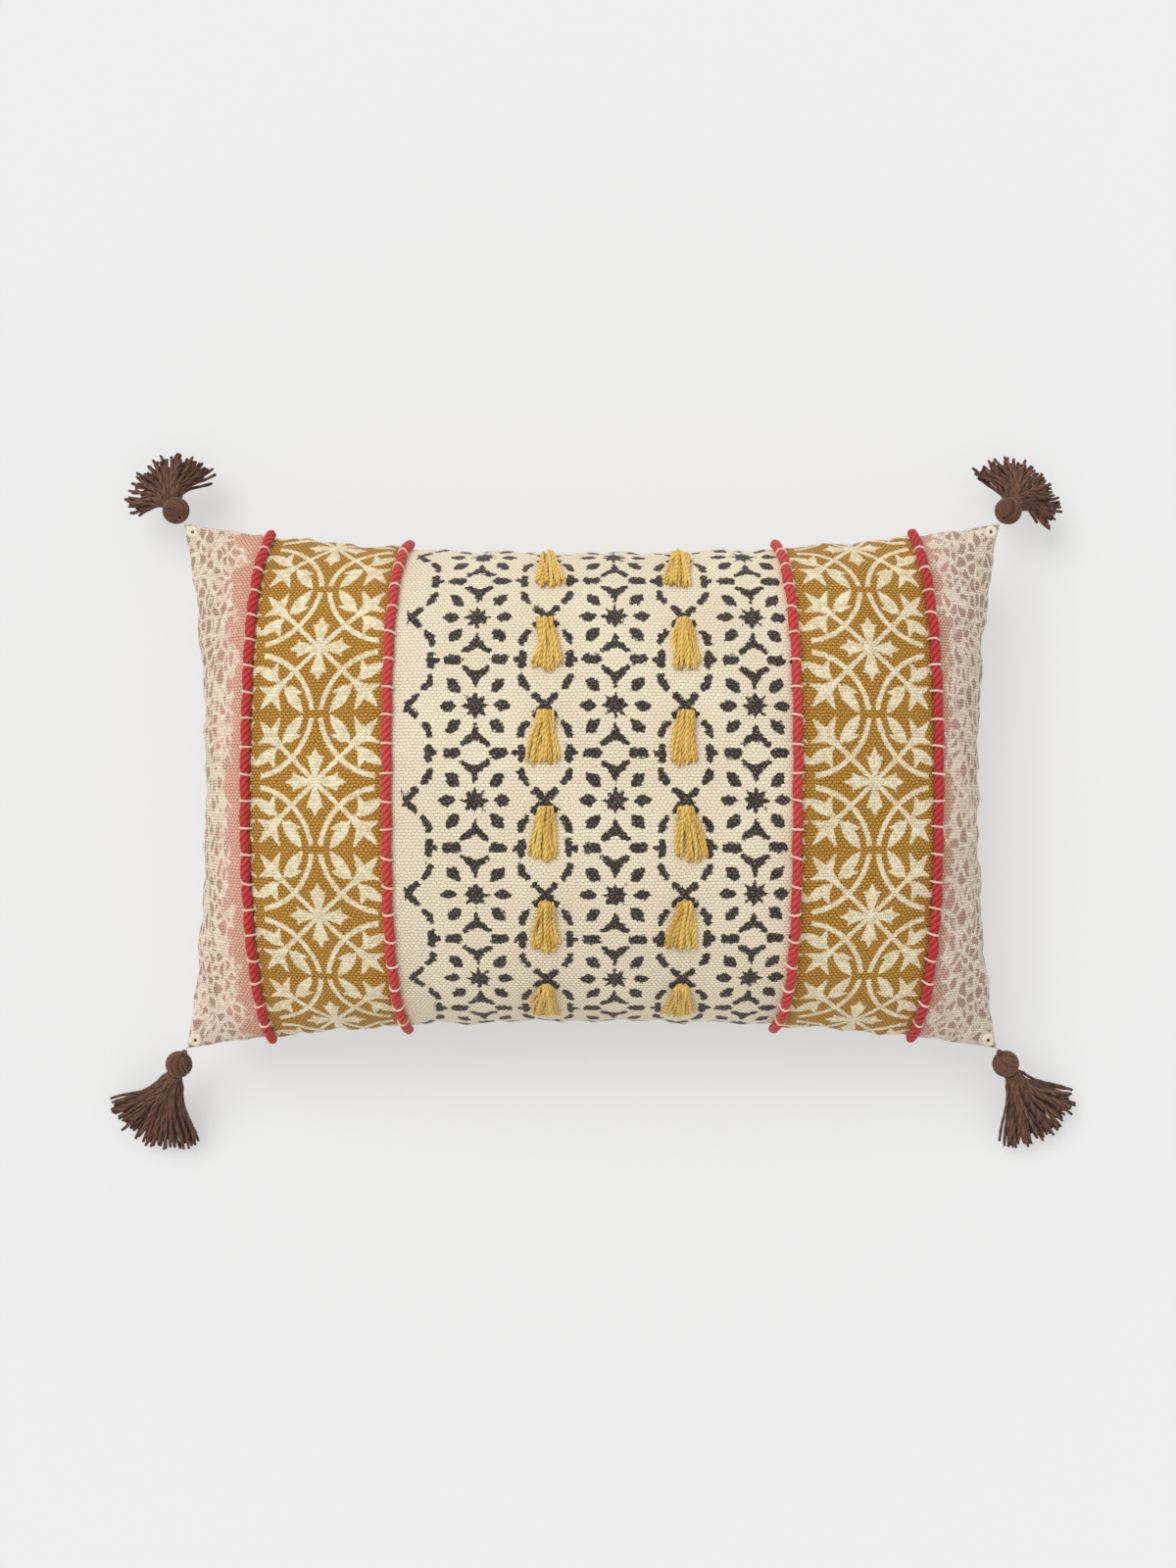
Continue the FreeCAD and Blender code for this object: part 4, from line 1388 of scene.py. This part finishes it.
@dataclass(frozen=True)
class CouchedCord:
    """A thick twisted cord laid over a seam and held down by stitches, which pinch it."""

    name: str
    u: float
    seed: int
    radius: float = 3.45 * MM
    pinch: float = 0.17
    half_long: float = 194.5 * MM
    stitch_radius: float = 0.8 * MM
    sunk: float = 1.5 * MM  # stitch ends under the cloth

    def lift(self, v: np.ndarray) -> tuple[np.ndarray, np.ndarray]:
        """The cord's radius and the height of its middle: both dip in a bell shape at each stitch.

        Args:
            v: places along the cord.

        Returns:
            The radius and the height at each place.
        """
        near = np.exp(-(((v[:, None] - STITCHES[None, :]) / (3.6 * MM)) ** 2)).sum(1)
        radius = self.radius * (1 - self.pinch * near)
        return radius, radius - 1.0 * MM

    def build(self, cloth: Settled) -> None:
        """Makes the cord, then its stitches.

        Args:
            cloth: the settled cloth.
        """
        v = np.linspace(-self.half_long, self.half_long, 520)
        rng = np.random.default_rng(self.seed)
        wander = 0.5 * MM * np.sin(v / (31 * MM) + rng.uniform(0, 6))
        wander += 0.35 * MM * np.sin(2 * math.pi * v / (37 * MM) + rng.uniform(0, 6))
        u = self.u + wander
        radius, height = self.lift(v)
        inside = np.clip(v, -198 * MM, 198 * MM)
        path = cloth.above(u, inside, height)
        path += cloth.ahead_v(u, inside) * (v - inside)[:, None]
        normal = cloth.axes(u, inside)[1]
        twist = Twist(4, 19 * MM, 0.1, 20)
        mesh = twist.strands(path[None], normal[None], radius[None], self.seed)
        node = f"{self.name}_cord"
        place(mesh.piece(f"{node}_yarn", MATERIALS["red"]), "pillow", "red_yarn", node)
        self.stitches(cloth, rng)

    def stitches(self, cloth: Settled, rng: np.random.Generator) -> None:
        """Short slanting bars over the cord: each a half ellipse from cloth to cloth.

        Args:
            cloth: the settled cloth.
            rng: the seeded draws.
        """
        turn = np.linspace(0.02, math.pi - 0.02, 25)
        lean = rng.uniform(-0.4, 1.3, (len(STITCHES), 1)) * MM
        reach = rng.uniform(3.5, 3.8, (len(STITCHES), 1)) * MM
        across = -np.cos(turn)[None] * reach
        radius, height = self.lift(STITCHES)
        top = (radius + height + self.stitch_radius * 0.6)[:, None]
        u = self.u + across
        v = STITCHES[:, None] + np.cos(turn)[None] * lean + rng.uniform(-0.6, 0.6, (len(STITCHES), 1)) * MM
        lift = -self.sunk + (top + self.sunk) * np.sin(turn)[None] ** 0.75
        path = cloth.above(u, v, lift)
        along = np.broadcast_to(cloth.ahead_v(u, v), path.shape)
        twist = Twist(2, 4.2 * MM, 0.25, 10)
        mesh = twist.strands(path, along, self.stitch_radius, self.seed)
        name = f"{self.name}_cord_stitches"
        place(mesh.piece(f"{name}_thread", MATERIALS["cream"]), "pillow", "cream_thread", name)


# ------------------------------------------------------------------ tassels


@dataclass(frozen=True)
class SmallTassel:
    """A tuft of mustard yarn drawn through the cloth: doubled strands that stand up a little and drape."""

    number: int
    strands: int = 24
    radius: float = 1.0 * MM
    long: float = 34 * MM
    crest: float = 2.9 * MM
    peak: float = 0.12  # part of the way along at which it is highest
    stations: int = 58

    def build(self, cloth: Settled) -> None:
        """Lays each strand from the knot: it rises to a crest, then falls to lie on the cloth, fanning out.
        The crest is the way along times an exponential that dies along it.

        Args:
            cloth: the settled cloth.
        """
        rng = np.random.default_rng(100 + self.number)
        knot = np.array(joint(f"small_tassel_{self.number:02d}_flip")["pos_m"])
        start_u, start_v = cloth.find(knot[0], knot[1], 4.0 * MM)
        part = np.linspace(0, 1, self.stations)[None]
        fan = np.linspace(-1, 1, self.strands)
        rng.shuffle(fan)
        fan = (fan + rng.normal(0, 0.06, self.strands))[:, None]
        lean, wide = rng.uniform(-0.13, 0.13), rng.uniform(5.5, 8.0) * MM
        long = self.long * (1 - 0.1 * fan**2) + rng.uniform(-3.2, 1.8, (self.strands, 1)) * MM
        layer = (np.arange(self.strands) % 3)[:, None]
        curl = rng.normal(0, 1.3, (self.strands, 1)) * MM
        side = fan * (2.6 * MM + wide * part**0.85) + lean * long * part + curl * np.sin(part * 4.2 + layer)
        back = 1.4 * MM * np.sin(math.pi * np.minimum(part / 0.16, 1.0))
        u = start_u + side
        v = start_v + back - long * part**1.05
        pile = layer * 1.75 * MM * (1 - 0.5 * part) * (1 - 0.45 * np.abs(fan))
        crest = (self.crest + rng.uniform(-0.8, 0.8, (self.strands, 1)) * MM) * (part / self.peak)
        height = self.radius * 1.12 + pile + crest * np.exp(1 - part / self.peak)
        height = height + 0.5 * MM * np.sin(part * 9 + fan * 7) * part
        path = cloth.above(u, v, np.maximum(height, self.radius * 1.08))
        taper = np.minimum(1.0, 0.55 + part / 0.06 * 0.45) * (1 - 0.35 * np.clip((part - 0.96) / 0.04, 0, 1))
        radius = self.radius * np.broadcast_to(taper, path.shape[:2])
        normal = cloth.axes(u, v)[1]
        mesh = Twist(2, 8 * MM, 0.2, 9, 0.3).strands(path, normal, radius, self.number)
        name = f"small_tassel_{self.number:02d}"
        place(mesh.piece(f"{name}_yarn", MATERIALS["mustard"]), f"{name}_body", "mustard_yarn", name)


@dataclass(frozen=True)
class CornerTassel:
    """A big brown tassel on a loop at one corner: a wound ball, a bound neck and a skirt of thick strands
    that falls to the floor. Its fan spreads to each side by an angle in degrees, seen from above."""

    corner: str
    seed: int
    fan: float
    long: float
    lean: float = 0.0
    strands: int = 110
    radius: float = 1.15 * MM
    stations: int = 40
    ball_strands: int = 32
    ball_size: float = 8.2 * MM
    ball_sunk: float = 1.5 * MM  # towards the corner
    bundle: float = 7.2 * MM  # radius of the skirt's top
    neck_size: float = 4.4 * MM

    @property
    def body(self) -> str:
        """The body that the tassel rides on."""
        return f"{self.corner}_tassel"

    def build(self, cloth: Settled) -> None:
        """Builds the tassel along its own direction, then the stitched eye in the cloth beside it.

        Args:
            cloth: the settled cloth.
        """
        origin = np.array(joint(f"{self.body}_swing")["pos_m"])
        head = box_middle(f"{self.body}_head")
        along = unit(head - origin)
        level = unit(np.array([-along[1], along[0], 0.0]))
        frame_axes = np.stack([level, np.cross(along, level), along])
        rng = np.random.default_rng(self.seed)
        self.loop(origin, frame_axes)
        self.ball(head - along * self.ball_sunk, frame_axes, rng)
        neck = box_middle(f"{self.body}_neck")
        self.binding(neck, frame_axes)
        self.skirt(neck, frame_axes, rng)
        self.eye(cloth)

    def dress(self, mesh: Patchwork, part: str) -> bpy.types.Object:
        """Makes one piece in the brown wool.

        Args:
            mesh: the part's yarn.
            part: the part's name.

        Returns:
            The part's object.
        """
        name = f"{self.body}_{part}"
        return place(mesh.piece(f"{name}_yarn", MATERIALS["brown"]), self.body, "brown_yarn", name)

    def loop(self, origin: np.ndarray, axes: np.ndarray) -> None:
        """The hanging loop: a narrow oval of cord from the corner into the ball.

        Args:
            origin: where it hangs.
            axes: its sideways, upward and outward directions, one a row.
        """
        middle = box_middle(f"{self.body}_loop")
        half = max(float(np.dot(middle - origin, axes[2])), 1.5 * MM)
        turn = np.linspace(0, 2 * math.pi, 41)
        path = middle + np.outer(np.cos(turn) * half * 0.9, axes[2])
        path = path + np.outer(np.sin(turn) * 1.5 * MM, axes[0])
        normal = np.broadcast_to(axes[1], path.shape)
        mesh = Twist(2, 3.4 * MM, 0.25, 8).strands(path[None], normal[None], 0.85 * MM, self.seed)
        self.dress(mesh, "loop")

    def ball(self, head: np.ndarray, axes: np.ndarray, rng: np.random.Generator) -> None:
        """The wound ball: strands that run from pole to pole over a sphere, each a slightly turned meridian.

        Args:
            head: the ball's middle.
            axes: its sideways, upward and outward directions, one a row.
            rng: the seeded draws.
        """
        count, size = self.ball_strands, self.ball_size
        part = np.linspace(0.03, 0.97, 32)[None] * math.pi
        turn = (np.arange(count) * 2 * math.pi / count + rng.normal(0, 0.05, count))[:, None]
        turn = turn + 0.9 * np.cos(part)
        reach = size * np.sin(part) + 0.2 * MM
        local = np.stack([reach * np.cos(turn), reach * np.sin(turn),
                          np.broadcast_to(-size * 0.98 * np.cos(part), turn.shape)], -1)
        path = head + local @ axes
        mesh = Twist(2, 4.4 * MM, 0.28, 9).strands(path, unit(path - head), 1.0 * MM, self.seed + 1)
        self.dress(mesh, "head")

    def binding(self, neck: np.ndarray, axes: np.ndarray) -> None:
        """The neck: one strand wound four times round, as a helix.

        Args:
            neck: the neck's middle.
            axes: its sideways, upward and outward directions, one a row.
        """
        turn = np.linspace(0, 8 * math.pi, 120)
        out = self.neck_size
        local = np.stack([out * np.cos(turn), out * np.sin(turn), np.linspace(-3.0, 3.0, 120) * MM], -1)
        path = neck + local @ axes
        normal = unit(path - neck)
        mesh = Twist(2, 4 * MM, 0.25, 8).strands(path[None], normal[None], 1.1 * MM, self.seed + 2)
        self.dress(mesh, "neck")

    def skirt(self, neck: np.ndarray, axes: np.ndarray, rng: np.random.Generator) -> None:
        """The skirt: strands that leave the neck in a bundle, turn out level over a fan of angles as they
        fall, and lie on the floor. Each path adds up short steps whose heading turns from the tassel's own
        way to the strand's, and a smooth floor holds it up.

        Args:
            neck: the neck's middle.
            axes: its sideways, upward and outward directions, one a row.
            rng: the seeded draws.
        """
        count = self.strands
        part = np.linspace(0, 1, self.stations)[None, :, None]
        spread = np.linspace(-1, 1, count) + rng.normal(0, 0.04, count)
        angle = np.radians(self.fan * rng.permutation(spread) + self.lean)[:, None, None]
        flat_way = unit(np.array([axes[2][0], axes[2][1], 0.0]))
        plan = np.cos(angle) * flat_way + np.sin(angle) * axes[0]
        ring = rng.uniform(0, 2 * math.pi, (count, 1, 1))
        out = self.bundle * np.sqrt(rng.uniform(0.1, 1, (count, 1, 1)))
        open_up = 0.7 + 0.3 * np.minimum(1, part / 0.12)
        bundle = out * (np.sin(ring) * axes[0] * 0.8 + np.cos(ring) * axes[1] * 0.7) * open_up
        bundle = bundle + np.sin(angle) * axes[0] * 3.5 * MM * open_up
        steer = (part * 1.5).clip(0, 1) ** 0.65
        sink = np.array([0.0, 0.0, -0.62]) * (1 - 0.3 * rng.uniform(0, 1, (count, 1, 1)))
        heading = unit(axes[2] * (1 - steer) + (plan + sink) * steer)
        long = self.long * rng.uniform(0.84, 1.03, (count, 1, 1))
        steps = np.cumsum(heading * (part > 0), axis=1) * long / (self.stations - 1)
        level = np.cross(plan, UP)
        wave = level * (1.2 * MM * np.sin(part * 5 + ring) * part)
        path = neck - axes[2] * 1.6 * MM + bundle + steps + wave
        pile = 6.5 * MM * rng.uniform(0, 1, (count, 1)) ** 1.2 * (1 - 0.6 * part[..., 0] ** 3)
        base = self.radius * 1.15 + pile
        low = path[..., 2] - base
        path[..., 2] = base + (low + np.hypot(low, 2.0 * MM)) / 2
        thick = self.radius * (0.8 + 0.2 * np.minimum(1, part[..., 0] / 0.1)) * np.ones((count, 1))
        frayed = 1 - 0.15 * np.clip((part[..., 0] - 0.94) / 0.06, 0, 1)
        normal = np.broadcast_to(UP, path.shape) + 0.3 * axes[0]
        mesh = Twist(2, 19 * MM, 0.16, 8, 0.7).strands(path, normal, thick * frayed, self.seed + 3)
        self.dress(mesh, "skirt")

    def eye(self, cloth: Settled) -> None:
        """The stitched eye that the loop is drawn through: short stitches out from a small hole. The hole's
        dark middle is painted shade, drawn as a small ring of brown yarn.

        Args:
            cloth: the settled cloth.
        """
        name = f"{self.corner}_rosette"
        middle = box_middle(name)
        u, v = cloth.find(middle[0], middle[1], 1.0 * MM)
        count = 22
        turn = (np.arange(count) * 2 * math.pi / count)[:, None]
        part = np.linspace(0, 1, 14)[None]
        out = (1.5 + 3.6 * part) * MM
        height = (-0.4 + 1.7 * np.sin(math.pi * np.clip(part * 0.9 + 0.06, 0, 1))) * MM
        path = cloth.above(u + out * np.cos(turn), v + out * np.sin(turn), height + 0 * turn)
        normal = np.broadcast_to(cloth.axes(u, v)[1], path.shape)
        mesh = Twist(2, 2.6 * MM, 0.22, 7).strands(path, normal, 0.62 * MM, self.seed + 4)
        place(mesh.piece(f"{name}_thread", MATERIALS["eye"]), "pillow", "cream_thread", name)
        # A small ring of brown yarn fills the hole's middle: painted shade of the hole, in the tassel's yarn.
        turns = np.linspace(0, 2 * math.pi, 25)
        hole_shade_u, hole_shade_v = u + 0.6 * MM * np.cos(turns), v + 0.6 * MM * np.sin(turns)
        bead = cloth.above(hole_shade_u, hole_shade_v, np.full(25, 0.3 * MM))
        mesh = Twist(2, 2.0 * MM, 0.2, 8).strands(bead[None], np.broadcast_to(normal[0, 0], bead.shape)[None],
                                                  0.72 * MM, self.seed)
        place(mesh.piece(f"{self.corner}_rosette_knot_yarn", MATERIALS["brown"]), "pillow", "brown_yarn")


# ------------------------------------------------------------------ the zip


@dataclass(frozen=True)
class Zip:
    """The closed coil zip low on the back: CAD tapes, stops, slider and pull, with real wound coils."""

    wire: float = 0.34 * MM
    pitch: float = 1.3 * MM

    def build(self) -> None:
        """Dresses the CAD parts and winds the two coils in place of the plain rods."""
        kept = {"zip_upper_tape": "tape", "zip_lower_tape": "tape", "zip_top_stop": "metal",
                "zip_bottom_stop": "metal", "zip_slider": "metal", "zip_pull": "metal"}
        for node, finish in kept.items():
            made = bpy.data.objects[node]
            for slot in made.material_slots:
                slot.link = "OBJECT"
                slot.material = MATERIALS[finish]
        for name, start in (("zip_upper_coil", 0.0), ("zip_lower_coil", math.pi)):
            self.coil(name, start)

    def coil(self, name: str, start: float) -> None:
        """Winds one coil: a helix of the rod's radius along its box.

        Args:
            name: the CAD rod.
            start: the helix's first angle.
        """
        low, high = (np.array(c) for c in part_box(name))
        middle = (low + high) / 2
        half = (high[1] - low[1]) / 2 - self.wire
        turns = (high[0] - low[0] - 2 * self.wire) / self.pitch
        turn = np.linspace(0, 2 * math.pi * turns, int(turns * 10))
        x = np.linspace(low[0] + self.wire, high[0] - self.wire, len(turn))
        y = middle[1] + half * np.cos(turn + start)
        z = middle[2] + half * np.sin(turn + start)
        path = np.stack([x, y, z], -1)
        normal = np.broadcast_to(np.array([1.0, 0.0, 0.0]), path.shape)
        plain = Twist(2, 50.0, 0.0, 6)
        mesh = plain.strands(path[None], normal[None], self.wire)
        place(mesh.piece(f"{name}_wire", MATERIALS["coil"]), "pillow", "zip_coil", name)


# ------------------------------------------------------------------ the room


@dataclass(frozen=True)
class Studio:
    """A pale floor that glows a little, one large soft light from the upper left and an even white fill,
    seen from above."""

    floor: str = "AFAFAF"
    glow: float = 0.42
    height: float = 1.75
    lens: float = 76.1
    aim_x: float = -2.6 * MM
    aim_y: float = 2.0 * MM
    key: float = 1.35
    key_from: tuple[float, float, float] = (-1.0, 1.15, 2.0)
    key_blur: float = 38.0
    fill: float = 0.7
    reach: float = 60.0  # half the floor, so that its edge is far off in low views

    def build(self) -> None:
        """Makes the floor, lights, world and camera."""
        made, tree, shader = new_material("studio_floor")
        feed(tree, shader, {"Base Color": linear(self.floor), "Roughness": 0.9, "Specular IOR Level": 0.0,
                            "Emission Color": WHITE, "Emission Strength": self.glow})
        far = self.reach
        corners = np.array([[-far, -far, 0], [far, -far, 0], [far, far, 0], [-far, far, 0]])
        Patchwork(corners, np.array([[0, 1, 2, 3]])).piece("floor", made)
        self.light("key", self.key_from, self.key_blur, self.key)
        world = bpy.data.worlds.new("room")
        bpy.context.scene.world = world
        world.use_nodes = True
        feed(world.node_tree, world.node_tree.nodes["Background"], {0: WHITE, 1: self.fill})
        self.camera()

    def light(self, name: str, where: tuple[float, float, float], blur: float, strength: float) -> None:
        """Adds a distant light of an even strength, whose shadows blur over an angle in degrees.

        Args:
            name: its name.
            where: the direction that it comes from.
            blur: its angular size in degrees.
            strength: its strength.
        """
        lamp = bpy.data.lights.new(name, "SUN")
        lamp.angle, lamp.energy = math.radians(blur), strength
        hung = bpy.data.objects.new(name, lamp)
        hung.location = where
        hung.rotation_euler = (-Vector(where)).to_track_quat("-Z", "Y").to_euler()
        bpy.context.scene.collection.objects.link(hung)

    def camera(self) -> None:
        """Looks straight down on the pillow."""
        middle = box_middle("insert_fill")
        lens = bpy.data.cameras.new("above")
        lens.sensor_fit, lens.sensor_width, lens.lens = "HORIZONTAL", 36.0, self.lens
        eye = bpy.data.objects.new("above", lens)
        eye.location = (middle[0] + self.aim_x, middle[1] + self.aim_y, self.height)
        bpy.context.scene.collection.objects.link(eye)
        bpy.context.scene.camera = eye
        bpy.context.scene.view_settings.view_transform = "Standard"


MATERIALS: dict[str, bpy.types.Material] = {}


def main() -> None:
    """Builds the finishes, the cloth, the filling, the cords, the tassels, the zip and the room, in order."""
    logging.basicConfig(level=logging.INFO, format="%(message)s")
    MATERIALS.update({key: finish.material() for key, finish in FINISHES.items()})
    cloth = Settled().build()
    Cover().build(cloth)
    for seed, (name, u) in enumerate(CORDS.items()):
        CouchedCord(name, u, 11 + seed).build(cloth)
    for number in range(1, 13):
        SmallTassel(number).build(cloth)
    for tassel in (
        CornerTassel("front_left", seed=21, fan=47.0, long=62 * MM, lean=3.0),
        CornerTassel("front_right", seed=31, fan=43.0, long=61 * MM, lean=4.0),
        CornerTassel("rear_left", seed=41, fan=88.0, long=37 * MM, lean=-10.0, strands=130),
        CornerTassel("rear_right", seed=51, fan=98.0, long=36 * MM, lean=4.0, strands=130),
    ):
        tassel.build(cloth)
    Zip().build()
    Studio().build()


if __name__ == "__main__":
    main()
